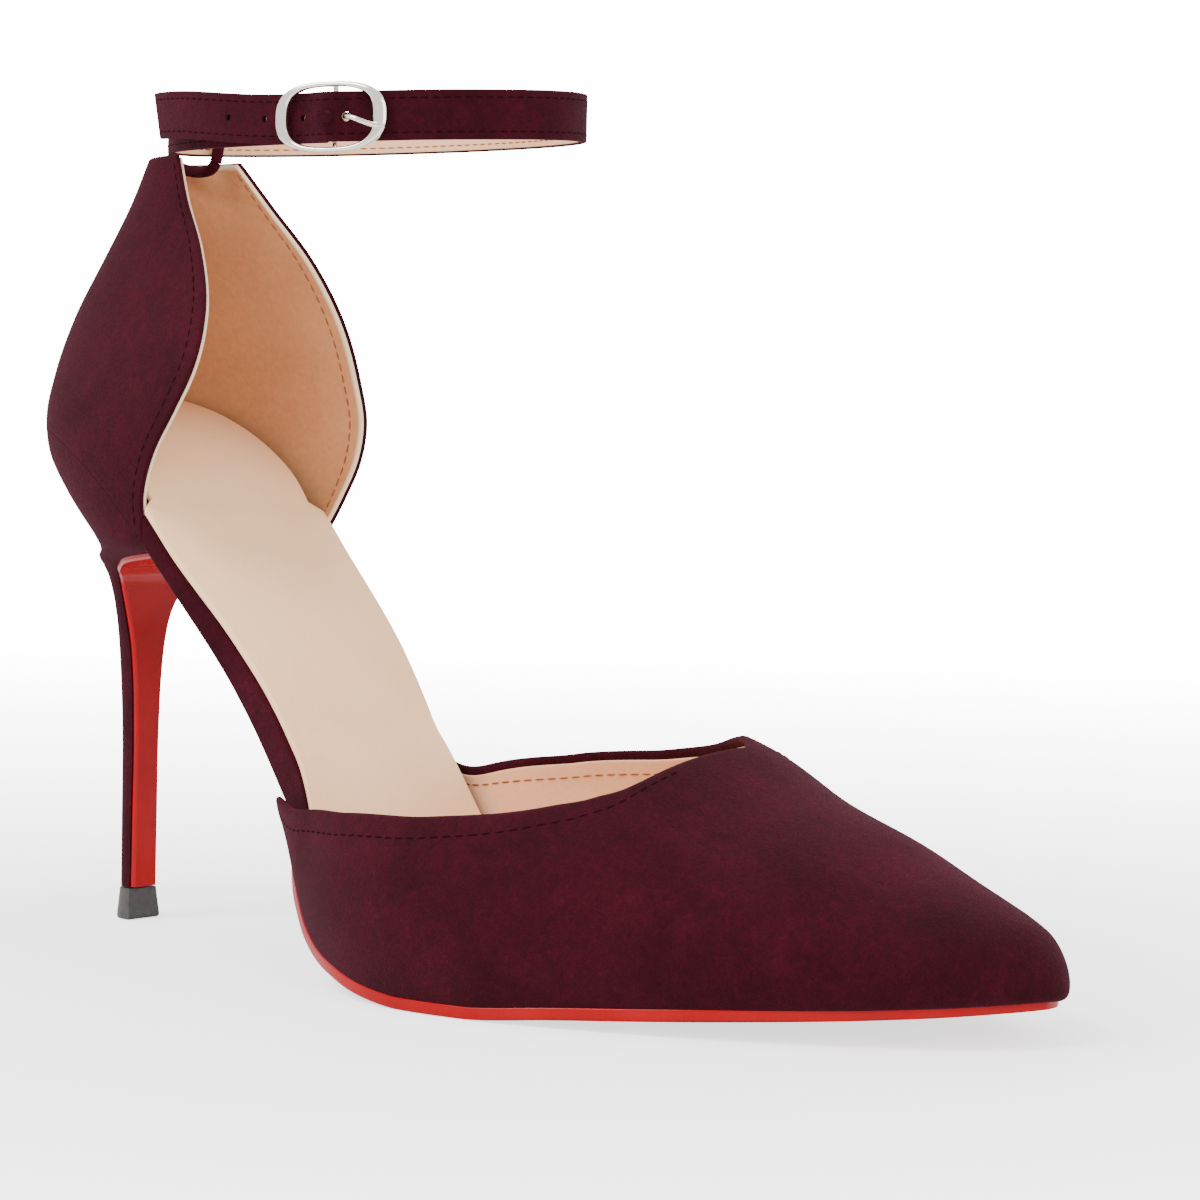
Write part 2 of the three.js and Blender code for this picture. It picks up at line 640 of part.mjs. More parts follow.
function strapHole(distance) {
  const angle = strapAngle(BUCKLE_ANGLE, distance);
  const height = strapMiddle + TAIL_LIFT * tailEnd(distance);
  const from = strapPoint(angle, tailOffset(distance) - CLEARANCE / 2, height);
  const to = strapPoint(angle, tailOffset(distance) + 2 * STRAP_THICKNESS, height);
  return rod([from, to], () => HOLE_RADIUS, 8);
}

// Round rod along a row of points
function rod(path, radiusAt, sides, isClosed = false) {
  const up = point(0, 0, 1);
  const count = path.length;
  const pick = (i) => (isClosed ? path[(i + count) % count] : path[Math.min(count - 1,
    Math.max(0, i))]);
  return loft(path.map((centre, i) => {
    const along = pick(i + 1).clone().sub(pick(i - 1)).normalize();
    const guide = Math.abs(along.z) > 0.9 ? point(1, 0, 0) : up;
    const across = along.clone().cross(guide).normalize();
    const over = across.clone().cross(along).normalize();
    return steps(sides).slice(1).map((share) => {
      const angle = share * 2 * Math.PI;
      return centre.clone().addScaledVector(across, radiusAt(i / count) * Math.cos(angle))
        .addScaledVector(over, radiusAt(i / count) * Math.sin(angle));
    });
  }), isClosed);
}

// Offsets outwards from the oval of what the buckle stacks up
const barOffset = LAYER_PITCH + TAIL_BUMP - 2 * CLEARANCE - FOLD_WALL - BAR_RADIUS;
const frameEndOffset = LAYER_PITCH + STRAP_THICKNESS + 2 * CLEARANCE + BUCKLE_THICKNESS / 2;

function buckleFrame() {
  const around = 32;
  const rings = steps(around).slice(1).map((share) => {
    const angle = share * 2 * Math.PI;
    const ahead = Math.sign(Math.cos(angle)) * Math.abs(Math.cos(angle)) ** 0.75;
    const above = Math.sign(Math.sin(angle)) * Math.abs(Math.sin(angle)) ** 0.75;
    const offset = frameEndOffset - BUCKLE_BOW * (1 - ahead * ahead) ** 2;
    const band = mix(BUCKLE_SIDE_BAND, BUCKLE_END_BAND, ahead ** 4);
    const place = (inward, lift) => {
      const distance = (BUCKLE_LENGTH / 2 - inward) * ahead;
      const height = (BUCKLE_HEIGHT / 2 - inward) * above;
      const angleThere = strapAngle(BUCKLE_ANGLE, distance);
      return strapPoint(angleThere, offset + lift, strapMiddle + height);
    };
    const depth = BUCKLE_THICKNESS / 2;
    return [place(0, 0), place(band * 0.25, depth), place(band * 0.75, depth), place(band, 0),
      place(band * 0.75, -depth), place(band * 0.25, -depth)];
  });
  const bar = [-1, 1].map((side) => {
    const reach = BUCKLE_HEIGHT / 2 - BUCKLE_SIDE_BAND / 2;
    return strapPoint(BUCKLE_ANGLE, barOffset, strapMiddle + side * reach);
  });
  const posts = [-1, 1].map((side) => {
    const height = strapMiddle + side * (BUCKLE_HEIGHT / 2 - BUCKLE_SIDE_BAND / 2);
    const frameOffset = frameEndOffset - BUCKLE_BOW;
    return rod([strapPoint(BUCKLE_ANGLE, barOffset - BAR_RADIUS / 2, height),
      strapPoint(BUCKLE_ANGLE, frameOffset, height)], () => BUCKLE_SIDE_BAND / 2, 8);
  });
  const whole = [rod(bar, () => BAR_RADIUS, 8), ...posts].reduce((solid, piece) => {
    return solid.add(solidOf(piece));
  }, solidOf(loft(rings, true)));
  const mesh = whole.getMesh();
  const geometry = new THREE.BufferGeometry();
  geometry.setAttribute('position', new THREE.Float32BufferAttribute(mesh.vertProperties, 3));
  geometry.setIndex([...mesh.triVerts]);
  geometry.computeVertexNormals();
  return geometry;
}

// Points along the buckle, which lie lower the nearer they are to the frame's front end
function bucklePath(pairs) {
  return pairs.map(([distance, offset]) => {
    const ahead = THREE.MathUtils.smoothstep(distance, PRONG_HOLE_PLACE, BUCKLE_LENGTH / 2);
    const height = strapMiddle - PRONG_DROP * ahead;
    return strapPoint(strapAngle(BUCKLE_ANGLE, distance), offset, height);
  });
}

function bucklePiercer() {
  const rest = frameEndOffset + BUCKLE_THICKNESS / 2 + CLEARANCE + PRONG_RADIUS;
  const hole = tailOffset(PRONG_HOLE_PLACE) + STRAP_THICKNESS / 2;
  const reach = BUCKLE_LENGTH / 2;
  const path = bucklePath([
    [PRONG_HOLE_PLACE - 1.2, barOffset + 0.2], [PRONG_HOLE_PLACE - 0.4, barOffset + 0.9],
    [PRONG_HOLE_PLACE, hole], [PRONG_HOLE_PLACE + 0.4, rest - 0.8],
    [PRONG_HOLE_PLACE + 1.6, rest], [reach - 2, rest], [reach, rest - 0.1],
  ]);
  return rod(path, (share) => PRONG_RADIUS * (share > 0.8 ? PRONG_TIP_SHARE : 1), 8);
}

// Fold of the strap around the bar, slotted for the prong
function strapFold() {
  const inside = BAR_RADIUS + CLEARANCE;
  const outside = inside + FOLD_WALL;
  const around = 16;
  const rim = (radius, height) => steps(around).map((share) => {
    const angle = mix(-FOLD_HALF_ANGLE, FOLD_HALF_ANGLE, share);
    const distance = radius * Math.cos(angle);
    const lift = radius * Math.sin(angle);
    return strapPoint(strapAngle(BUCKLE_ANGLE, distance), barOffset + lift, height);
  });
  const [foot, head] = [FOLD_INSET, STRAP_HEIGHT - FOLD_INSET];
  const lines = [rim(inside, foot), rim(outside, foot), rim(outside, head), rim(inside, head)];
  const body = loft(steps(around).map((_, i) => lines.map((line) => line[i])));
  const slot = rod(bucklePath([[0, barOffset + inside / 2], [0, barOffset + 3 * outside]]),
    () => PRONG_RADIUS + CLEARANCE * 2, 8);
  const mouth = rod(bucklePath([[inside / 2, barOffset], [3 * outside, barOffset + inside]]),
    () => PRONG_RADIUS + CLEARANCE * 2, 8);
  return cut(body, slot, mouth);
}

// Suede cord that stands on the quarter's top edge and holds the strap
function counterLoop() {
  const back = Math.PI;
  const strapX = strapPoint(back, STRAP_THICKNESS / 2, 0).x;
  const strapLow = strapPoint(back, 0, 0).z;
  const quarterTop = SEAT_HEIGHT + QUARTER_HEIGHT;
  const edgeX = quarterBack(quarterTop) + UPPER_WALL / 2;
  const space = STRAP_THICKNESS / 2 + 2 * CLEARANCE + LOOP_CORD_RADIUS;
  const above = strapLow + STRAP_HEIGHT + CLEARANCE + LOOP_CORD_RADIUS;
  const foot = quarterTop + 2 * CLEARANCE + LOOP_CORD_RADIUS;
  const outline = new THREE.CatmullRomCurve3([
    point(edgeX, STRAP_RING.centreY, foot + LOOP_FOOT_LIFT),
    point(edgeX + LOOP_FOOT_RISE * 0.6, STRAP_RING.centreY, foot + LOOP_FOOT_RISE),
    point(strapX - space - 0.6, STRAP_RING.centreY, mix(strapLow, above, 0.4)),
    point(strapX - space * 0.8, STRAP_RING.centreY, above),
    point(strapX + space * 0.8, STRAP_RING.centreY, above),
    point(strapX + space + 0.4, STRAP_RING.centreY, mix(strapLow, above, 0.5)),
    point(strapX + space * 0.6, STRAP_RING.centreY, strapLow - 3 * CLEARANCE - LOOP_CORD_RADIUS),
  ], true);
  return rod(outline.getSpacedPoints(28).slice(1), () => LOOP_CORD_RADIUS, 8, true);
}

const SUEDE = { color: 0x481220, roughness: 0.95, metalness: 0 };
const RED_SOLE = { color: 0xd4101f, roughness: 0.25, metalness: 0 };
const LINING = { color: 0xe8cdb0, roughness: 0.6, metalness: 0 };
const TIP_RUBBER = { color: 0x2c2c2b, roughness: 0.5, metalness: 0 };
const NICKEL = { color: 0xd8cfc2, roughness: 0.2, metalness: 1 };

const PIECES = [
  ['outsole', outsole(), RED_SOLE],
  ['heel_tip', heelTip(), TIP_RUBBER],
  ['heel', heel(), SUEDE],
  ['heel_breast_cover', heelBreastCover(), RED_SOLE],
  ['insole_board', insoleBoard(), SUEDE],
  ['insole_sock', insoleSock(), LINING],
  ['vamp', vamp(), SUEDE],
  ['counter', counter(), SUEDE],
  ['counter_loop', counterLoop(), SUEDE],
  ['ankle_strap', strapBand(), SUEDE],
  ['strap_fold', strapFold(), SUEDE],
  ['buckle_frame', buckleFrame(), NICKEL],
  ['buckle_prong', bucklePiercer(), NICKEL],
];

const shoe = new THREE.Group();
for (const [name, geometry, finish] of PIECES) {
  const mesh = new THREE.Mesh(geometry, new THREE.MeshStandardMaterial(finish));
  mesh.name = name;
  shoe.add(mesh);
}

// The origin is the middle of the shoe's own box, on the floor
const box = new THREE.Box3().setFromObject(shoe);
const middle = box.getCenter(new THREE.Vector3());
shoe.position.set(-middle.x, -middle.y, -box.min.z);

export default shoe;
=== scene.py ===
import math

import bmesh
import bpy
from mathutils import Matrix, Vector


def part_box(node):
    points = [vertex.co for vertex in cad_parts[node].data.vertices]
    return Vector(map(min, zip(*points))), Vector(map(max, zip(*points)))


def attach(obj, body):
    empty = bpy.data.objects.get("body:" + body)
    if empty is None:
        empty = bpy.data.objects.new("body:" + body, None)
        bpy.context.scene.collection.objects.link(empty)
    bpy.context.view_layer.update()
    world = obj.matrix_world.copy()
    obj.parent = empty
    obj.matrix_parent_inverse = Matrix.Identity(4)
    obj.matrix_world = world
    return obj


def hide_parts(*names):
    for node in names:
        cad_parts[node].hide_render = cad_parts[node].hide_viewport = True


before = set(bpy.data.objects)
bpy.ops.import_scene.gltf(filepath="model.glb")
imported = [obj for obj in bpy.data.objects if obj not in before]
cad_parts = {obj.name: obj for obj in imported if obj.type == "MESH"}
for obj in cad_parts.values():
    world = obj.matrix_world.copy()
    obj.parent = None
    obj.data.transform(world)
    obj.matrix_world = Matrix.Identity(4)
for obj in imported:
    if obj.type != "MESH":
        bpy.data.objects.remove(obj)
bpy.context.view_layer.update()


# Vamp
# Suede cut to a point over the toes, with its topline folded in and stitched.
# It is lasted round the insole board and glued under it, above the sole.

# The frame's origin against the heel post, whose middle is at x -2.6 mm
tip_low, tip_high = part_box("heel_tip")
SHIFT_X = (tip_low[0] + tip_high[0]) / 2 + 0.0026
SHIFT_Y = (tip_low[1] + tip_high[1]) / 2

SHOE_LENGTH = 222.0
SEAT_OVERHANG = 22.0
HEEL_RISE = 94.0
LATERAL_WIDTH = 42.0
MEDIAL_WIDTH = 35.0
INSTEP_HEIGHT = 43.0
TOE_ROUND = 11.0
NOSE_ROUND = 7.0
RIDGE_SIDE = 4.0
WALL = 1.8
VAMP_SUEDE = 1.45
VAMP_RIM_BULGE = 0.7
CLEARANCE = 0.3
GROWTH = WALL + CLEARANCE
GROUND_STACK = 2.3
TOE_PLACE = SHOE_LENGTH - SEAT_OVERHANG - GROWTH
THROAT = 139.5
LATERAL_WING = 60.3
MEDIAL_WING = 59.0
SIDE_BULGE = 0.3
SIDE_FULLNESS = 1.05

# place, rise, lateral, medial, stack
LAST = [
    (0.00, 1.000, 0.600, 0.715, 1.50),
    (0.05, 0.990, 0.602, 0.715, 1.50),
    (0.10, 0.955, 0.605, 0.720, 1.35),
    (0.17, 0.850, 0.625, 0.695, 1.10),
    (0.235, 0.671, 0.568, 0.735, 0.95),
    (0.30, 0.479, 0.508, 0.700, 1.20),
    (0.37, 0.262, 0.550, 0.555, 1.60),
    (0.435, 0.078, 0.740, 0.570, 1.55),
    (0.50, 0.023, 0.915, 0.735, 0.95),
    (0.57, 0.000, 1.000, 0.900, 0.75),
    (0.635, 0.000, 0.985, 0.985, 0.70),
    (0.70, 0.013, 0.905, 1.000, 0.70),
    (0.77, 0.024, 0.785, 0.930, 0.70),
    (0.835, 0.034, 0.643, 0.800, 0.70),
    (0.90, 0.044, 0.464, 0.630, 0.70),
    (1.00, 0.061, 0.070, 0.310, 0.70),
]

# place, height
RIDGE = [
    (0.34, 1.38),
    (0.44, 1.33),
    (0.50, 1.27),
    (0.57, 1.20),
    (0.635, 1.12),
    (0.72, 1.00),
    (0.77, 0.855),
    (0.86, 0.675),
    (0.90, 0.580),
    (0.95, 0.470),
    (1.00, 0.360),
]

# place, lateral, medial
TOPLINE = [
    (0.00, 0.07, 0.16),
    (0.05, 0.18, 0.26),
    (0.16, 0.37, 0.47),
    (0.36, 0.50, 0.63),
    (0.615, 0.59, 0.75),
    (0.73, 0.64, 0.82),
    (0.85, 0.71, 0.915),
    (0.92, 0.77, 0.965),
    (0.97, 0.86, 0.99),
    (1.00, 1.00, 1.00),
]


def columns(rows):
    """One smooth curve per column after the first, straight beyond the ends."""
    xs = [row[0] for row in rows]
    last = len(rows) - 1

    def curve(ys):
        chord = [(ys[i + 1] - ys[i]) / (xs[i + 1] - xs[i]) for i in range(last)]
        slopes = [chord[0]]
        for i in range(1, last):
            before = xs[i] - xs[i - 1]
            after = xs[i + 1] - xs[i]
            slopes.append((chord[i - 1] * after + chord[i] * before) / (before + after))
        slopes.append(chord[-1])

        def value(x):
            if x <= xs[0]:
                return ys[0] + slopes[0] * (x - xs[0])
            if x >= xs[last]:
                return ys[last] + slopes[last] * (x - xs[last])
            i = max(k for k in range(last) if xs[k] <= x)
            width = xs[i + 1] - xs[i]
            t = (x - xs[i]) / width
            start = (1 + 2 * t) * (1 - t) ** 2 * ys[i] + t * (1 - t) ** 2 * width * slopes[i]
            end = t * t * (3 - 2 * t) * ys[i + 1] + t * t * (t - 1) * width * slopes[i + 1]
            return start + end
        return value

    return [curve([row[k] for row in rows]) for k in range(1, len(rows[0]))]


rise_share, lateral_share, medial_share, stack_share = columns(LAST)
ridge_share, = columns(RIDGE)
lateral_topline, medial_topline = columns(TOPLINE)


def place(x):
    return (x + SEAT_OVERHANG) / SHOE_LENGTH


def mix(a, b, share):
    return a + (b - a) * share


def smooth(x, low, high):
    t = min(1.0, max(0.0, (x - low) / (high - low)))
    return t * t * (3 - 2 * t)


def feather(x):
    """Height of the line where upper and sole meet."""
    return GROUND_STACK + max(0.0, rise_share(place(x))) * HEEL_RISE


def along_normal(x):
    return math.hypot(1, feather(x + 0.5) - feather(x - 0.5))


def round_end(distance, reach):
    share = min(1.0, max(0.0, distance / reach))
    return math.sqrt(1 - (1 - share) ** 2)


def forefoot_outline(x, growth):
    """Lateral and medial side of the last, grown outwards."""
    lateral = lateral_share(place(x)) * LATERAL_WIDTH
    medial = medial_share(place(x)) * MEDIAL_WIDTH
    centre = (medial - lateral) / 2
    toe = round_end(TOE_PLACE + growth - x, TOE_ROUND + growth)
    half = ((medial + lateral) / 2 + growth) * toe
    return centre - half, centre + half


def vamp_point(x, angle):
    """Outer face of the vamp, with the angle going up the lateral side and down the other."""
    lateral, medial = forefoot_outline(x, GROWTH)
    nose = round_end(TOE_PLACE + GROWTH - x, NOSE_ROUND)
    crest = ridge_share(place(x)) * INSTEP_HEIGHT
    low = -math.sin(SIDE_BULGE)
    rise = (math.sin(angle) - low) / (1 - low)
    spread = abs(math.cos(angle) / math.cos(SIDE_BULGE)) ** SIDE_FULLNESS
    ridge = min(max(RIDGE_SIDE, lateral), medial)
    edge = lateral if angle < math.pi / 2 else medial
    z = feather(x) + (crest - feather(x)) * nose * rise
    return Vector((x, mix(ridge, edge, spread), z))


def topline_angle(curve, share, drop=0.0):
    low = -math.sin(SIDE_BULGE)
    height = min(1.0, curve(min(1.0, share)) - drop)
    return math.asin(min(1.0, low + height * (1 - low)))


def eased(start, end, count, power=1.0):
    """Steps that gather near the end when power is below 1."""
    return [mix(start, end, 1 - (1 - i / count) ** (1 / power)) for i in range(count + 1)]


def vamp_grids(rear_in=0.0, throat_on=0.0, drop=0.0):
    """Lateral and medial grids of the vamp, behind the throat and in front of it."""
    grids = []
    around = 44
    for side, curve, rear in ((1, lateral_topline, LATERAL_WING), (-1, medial_topline, MEDIAL_WING)):
        rear = rear + rear_in
        throat = THROAT + throat_on
        rows = []
        for x in eased(rear, throat, 110, 0.6) + eased(throat, TOE_PLACE + GROWTH, 90, 0.55)[1:]:
            top = topline_angle(curve, (x - rear) / (throat - rear), drop) if x < throat else math.pi / 2
            angles = [mix(-SIDE_BULGE, top, j / around) for j in range(around + 1)]
            rows.append([vamp_point(x, a if side > 0 else math.pi - a) for a in angles])
        grids.append((rows, side > 0))
    return grids


def at(v):
    """Millimetres on the last to metres in the frame."""
    return Vector((v.x / 1000 + SHIFT_X, v.y / 1000 + SHIFT_Y, v.z / 1000))


def grid_faces(bm, rows, flipped=False, closed=False):
    verts = [[bm.verts.new(p) for p in row] for row in rows]
    for i in range(len(rows) - 1):
        count = len(rows[i])
        for j in range(count if closed else count - 1):
            k = (j + 1) % count
            quad = [verts[i][j], verts[i][k], verts[i + 1][k], verts[i + 1][j]]
            bm.faces.new(quad[::-1] if flipped else quad)
    return verts


def add_object(name, data):
    obj = bpy.data.objects.new(name, data)
    bpy.context.scene.collection.objects.link(obj)
    return obj


def finish_mesh(name, bm, sharp=35.0):
    """Object from a bmesh in millimetres."""
    for v in bm.verts:
        v.co = at(v.co)
    mesh = bpy.data.meshes.new(name)
    bm.to_mesh(mesh)
    bm.free()
    mesh.shade_smooth()
    mesh.set_sharp_from_angle(angle=math.radians(sharp))
    return add_object(name, mesh)


def wall(name, grids, outer, inner, bulge=0.5):
    """Closed wall between two depths under an open sheet, with a rounded rim."""
    sheet = bmesh.new()
    for rows, flipped in grids:
        grid_faces(sheet, rows, flipped)
    bmesh.ops.remove_doubles(sheet, verts=sheet.verts, dist=0.004)
    bmesh.ops.dissolve_degenerate(sheet, edges=sheet.edges, dist=0.0005)
    sheet.normal_update()
    sheet.verts.index_update()
    out = {v.index: Vector() for v in sheet.verts}
    rim_edges = []
    for e in sheet.edges:
        if not e.is_boundary:
            continue
        loop = e.link_loops[0]
        a, b = loop.vert, loop.link_loop_next.vert
        side = (b.co - a.co).normalized().cross(loop.face.normal)
        out[a.index] += side
        out[b.index] += side
        rim_edges.append((a.index, b.index))
    bm = bmesh.new()
    layer = bm.verts.layers.float.new("rim")
    half = (inner - outer) / 2
    top, low, rims = {}, {}, {}
    segments = 6
    for v in sheet.verts:
        top[v.index] = bm.verts.new(v.co - v.normal * outer)
        low[v.index] = bm.verts.new(v.co - v.normal * inner)
    sheet.verts.ensure_lookup_table()
    for i in {i for pair in rim_edges for i in pair}:
        vert = sheet.verts[i]
        normal = vert.normal
        away = (out[i] - normal * out[i].dot(normal)).normalized()
        middle = vert.co - normal * (outer + half)
        ring = [top[i]]
        for k in range(1, segments):
            angle = math.pi * k / segments
            ring.append(bm.verts.new(middle + normal * half * math.cos(angle)
                                     + away * half * 2 * bulge * math.sin(angle)))
        ring.append(low[i])
        for r in ring:
            r[layer] = 1.0
        rims[i] = ring
    for f in sheet.faces:
        ids = [v.index for v in f.verts]
        bm.faces.new([top[i] for i in ids])
        bm.faces.new([low[i] for i in reversed(ids)])
    for a, b in rim_edges:
        for k in range(segments):
            bm.faces.new([rims[b][k], rims[a][k], rims[a][k + 1], rims[b][k + 1]])
    sheet.free()
    return finish_mesh(name, bm, 60)


def surface_group(name, roughness=True):
    """Shader group with a colour, a roughness and a normal, and the object's coordinates."""
    group = bpy.data.node_groups.new(name, "ShaderNodeTree")
    group.interface.new_socket("Color", in_out="OUTPUT", socket_type="NodeSocketColor")
    if roughness:
        group.interface.new_socket("Roughness", in_out="OUTPUT", socket_type="NodeSocketFloat")
    group.interface.new_socket("Normal", in_out="OUTPUT", socket_type="NodeSocketVector")
    where = group.nodes.new("ShaderNodeTexCoord").outputs["Object"]
    return group, group.nodes.new("NodeGroupOutput"), where


def noise(group, vector, scale, detail, roughness=0.5, distortion=0.0):
    node = group.nodes.new("ShaderNodeTexNoise")
    node.inputs["Scale"].default_value = scale
    node.inputs["Detail"].default_value = detail
    node.inputs["Roughness"].default_value = roughness
    node.inputs["Distortion"].default_value = distortion
    group.links.new(vector, node.inputs["Vector"])
    return node.outputs["Fac"]


def math_node(group, operation, a, b):
    node = group.nodes.new("ShaderNodeMath")
    node.operation = operation
    for socket, value in ((node.inputs[0], a), (node.inputs[1], b)):
        if isinstance(value, (int, float)):
            socket.default_value = value
        else:
            group.links.new(value, socket)
    return node.outputs[0]


def ramp(group, factor, stops):
    node = group.nodes.new("ShaderNodeValToRGB")
    elements = node.color_ramp.elements
    while len(elements) < len(stops):
        elements.new(0.5)
    for element, (position, colour) in zip(elements, stops):
        element.position = position
        element.color = (*colour, 1)
    group.links.new(factor, node.inputs[0])
    return node.outputs[0]


def bump(group, out, height, strength, distance):
    node = group.nodes.new("ShaderNodeBump")
    node.inputs["Strength"].default_value = strength
    node.inputs["Distance"].default_value = distance
    group.links.new(height, node.inputs["Height"])
    group.links.new(node.outputs["Normal"], out.inputs["Normal"])


def weighted(group, first, share, second, other_share=1.0):
    """Sum of two masks, each times its own share."""
    return math_node(group, "ADD", math_node(group, "MULTIPLY", first, share),
        math_node(group, "MULTIPLY", second, other_share))


def roughen(group, out, mask, spread, least):
    """Roughness that grows with a mask from its least value."""
    rough = math_node(group, "ADD", math_node(group, "MULTIPLY", mask, spread), least)
    group.links.new(rough, out.inputs["Roughness"])


def suede_group():
    """Brushed nap: clouds where it was stroked, tufts, and short fibres."""
    group, out, where = surface_group("Suede nap")
    clouds = noise(group, where, 55, 3, 0.5, 0.6)
    tufts = noise(group, where, 420, 4, 0.62, 0.8)
    fibres = noise(group, where, 1900, 3, 0.7, 1.4)
    fine = weighted(group, tufts, 0.30, fibres, 0.36)
    shade = weighted(group, clouds, 0.34, fine)
    colour = ramp(group, shade, [(0.30, (0.012, 0.0006, 0.0020)), (0.46, (0.025, 0.0012, 0.0042)),
        (0.58, (0.040, 0.0022, 0.0072)), (0.74, (0.075, 0.0070, 0.0170))])
    group.links.new(colour, out.inputs["Color"])
    roughen(group, out, tufts, 0.2, 0.8)
    bump(group, out, weighted(group, fibres, 0.7, tufts, 0.5), 0.85, 0.00035)
    return group


def material(name, group, links, **values):
    """Principled material that takes the named outputs of a group."""
    result = bpy.data.materials.new(name)
    result.use_nodes = True
    tree = result.node_tree
    shader = tree.nodes["Principled BSDF"]
    for socket, value in values.items():
        shader.inputs[socket.replace("_", " ")].default_value = value
    if group:
        node = tree.nodes.new("ShaderNodeGroup")
        node.node_tree = group
        for output, socket in links.items():
            tree.links.new(node.outputs[output], shader.inputs[socket])
    return result


SUEDE_GROUP = suede_group()
ALL_THREE = {"Color": "Base Color", "Roughness": "Roughness", "Normal": "Normal"}
suede = material("Burgundy suede", SUEDE_GROUP, ALL_THREE, Specular_IOR_Level=0.08,
    Sheen_Weight=0.12, Sheen_Roughness=0.4, Sheen_Tint=(0.60, 0.16, 0.26, 1))


def declare(obj, surface, slot, *nodes):
    """Material, body, slot and CAD nodes of one finished piece; the slot is not used."""
    obj.data.materials.clear()
    obj.data.materials.append(surface)
    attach(obj, "root")
    if nodes:
        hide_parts(*nodes)


vamp = wall("vamp", vamp_grids(), 0.0, VAMP_SUEDE, VAMP_RIM_BULGE)
declare(vamp, suede, "burgundy_suede", "vamp")


# Vamp lining
# Thin peach leather glued inside the vamp, a little short of the folded topline.
# It is stitched to the vamp along the topline.

LINING_DROP = 0.008
LINING_INSET = 0.5
LINING_LAP = 0.05


def grain_group(name, light, dark, scale):
    """Fine leather grain with soft shading between two colours."""
    group, out, where = surface_group(name)
    broad = noise(group, where, 40, 2)
    pores = noise(group, where, scale, 5, 0.65, 0.4)
    cells = group.nodes.new("ShaderNodeTexVoronoi")
    cells.feature = "DISTANCE_TO_EDGE"
    cells.inputs["Scale"].default_value = scale * 0.8
    group.links.new(where, cells.inputs["Vector"])
    shade = weighted(group, broad, 0.6, pores, 0.4)
    group.links.new(ramp(group, shade, [(0.35, dark), (0.62, light)]), out.inputs["Color"])
    roughen(group, out, pores, 0.25, 0.38)
    bump(group, out, weighted(group, cells.outputs["Distance"], 0.5, pores), 0.25, 0.0002)
    return group


lining_grain = grain_group("Lining grain", (0.86, 0.50, 0.30), (0.76, 0.40, 0.22), 900)
lining = material("Peach lining", lining_grain, ALL_THREE, Specular_IOR_Level=0.35)
vamp_lining = wall("vamp_lining", vamp_grids(LINING_INSET, LINING_INSET, LINING_DROP),
    VAMP_SUEDE - LINING_LAP, WALL)
declare(vamp_lining, lining, "peach_lining", "vamp")


# Topline stitches
# One row of thread along the folded topline of the vamp, seen on both faces.
# Brown on the lining and burgundy on the suede.

STITCH_PITCH = 0.0023
STITCH_SHARE = 0.78
STITCH_RADIUS = 0.00017


def stitch_nodes():
    """Curve of edges to a row of thread stitches."""
    group = bpy.data.node_groups.new("Stitch row", "GeometryNodeTree")
    group.interface.new_socket("Geometry", in_out="INPUT", socket_type="NodeSocketGeometry")
    for socket, value in (("Pitch", STITCH_PITCH), ("Length", STITCH_PITCH * STITCH_SHARE),
            ("Radius", STITCH_RADIUS)):
        item = group.interface.new_socket(socket, in_out="INPUT", socket_type="NodeSocketFloat")
        item.default_value = value
    group.interface.new_socket("Material", in_out="INPUT", socket_type="NodeSocketMaterial")
    group.interface.new_socket("Geometry", in_out="OUTPUT", socket_type="NodeSocketGeometry")
    new, link = group.nodes.new, group.links.new
    start, end = new("NodeGroupInput"), new("NodeGroupOutput")
    curve, points = new("GeometryNodeMeshToCurve"), new("GeometryNodeResampleCurve")
    points.mode = "LENGTH"
    link(start.outputs["Geometry"], curve.inputs["Mesh"])
    link(curve.outputs["Curve"], points.inputs["Curve"])
    link(start.outputs["Pitch"], points.inputs["Length"])
    bead, shape, size = (new("GeometryNodeMeshUVSphere"), new("GeometryNodeTransform"),
        new("ShaderNodeCombineXYZ"))
    bead.inputs["Segments"].default_value = 8
    bead.inputs["Rings"].default_value = 6
    bead.inputs["Radius"].default_value = 1.0
    half = new("ShaderNodeMath")
    half.operation = "MULTIPLY"
    half.inputs[1].default_value = 0.5
    link(start.outputs["Length"], half.inputs[0])
    link(start.outputs["Radius"], size.inputs["X"])
    link(start.outputs["Radius"], size.inputs["Y"])
    link(half.outputs[0], size.inputs["Z"])
    link(bead.outputs["Mesh"], shape.inputs["Geometry"])
    link(size.outputs[0], shape.inputs["Scale"])
    turn, tangent = new("FunctionNodeAlignRotationToVector"), new("GeometryNodeInputTangent")
    turn.axis = "Z"
    link(tangent.outputs[0], turn.inputs["Vector"])
    copies, real, dye, soft = (new("GeometryNodeInstanceOnPoints"), new("GeometryNodeRealizeInstances"),
        new("GeometryNodeSetMaterial"), new("GeometryNodeSetShadeSmooth"))
    link(points.outputs["Curve"], copies.inputs["Points"])
    link(shape.outputs["Geometry"], copies.inputs["Instance"])
    link(turn.outputs[0], copies.inputs["Rotation"])
    link(copies.outputs["Instances"], real.inputs["Geometry"])
    link(real.outputs["Geometry"], soft.inputs["Geometry"])
    link(soft.outputs["Geometry"], dye.inputs["Geometry"])
    link(start.outputs["Material"], dye.inputs["Material"])
    link(dye.outputs["Geometry"], end.inputs["Geometry"])
    return group


STITCH_GROUP = stitch_nodes()


def bake_modifiers(obj):
    """Leaves the evaluated mesh on the object, without its modifiers."""
    depsgraph = bpy.context.evaluated_depsgraph_get()
    done = bpy.data.meshes.new_from_object(obj.evaluated_get(depsgraph))
    done.name = obj.name
    obj.modifiers.clear()
    obj.data = done


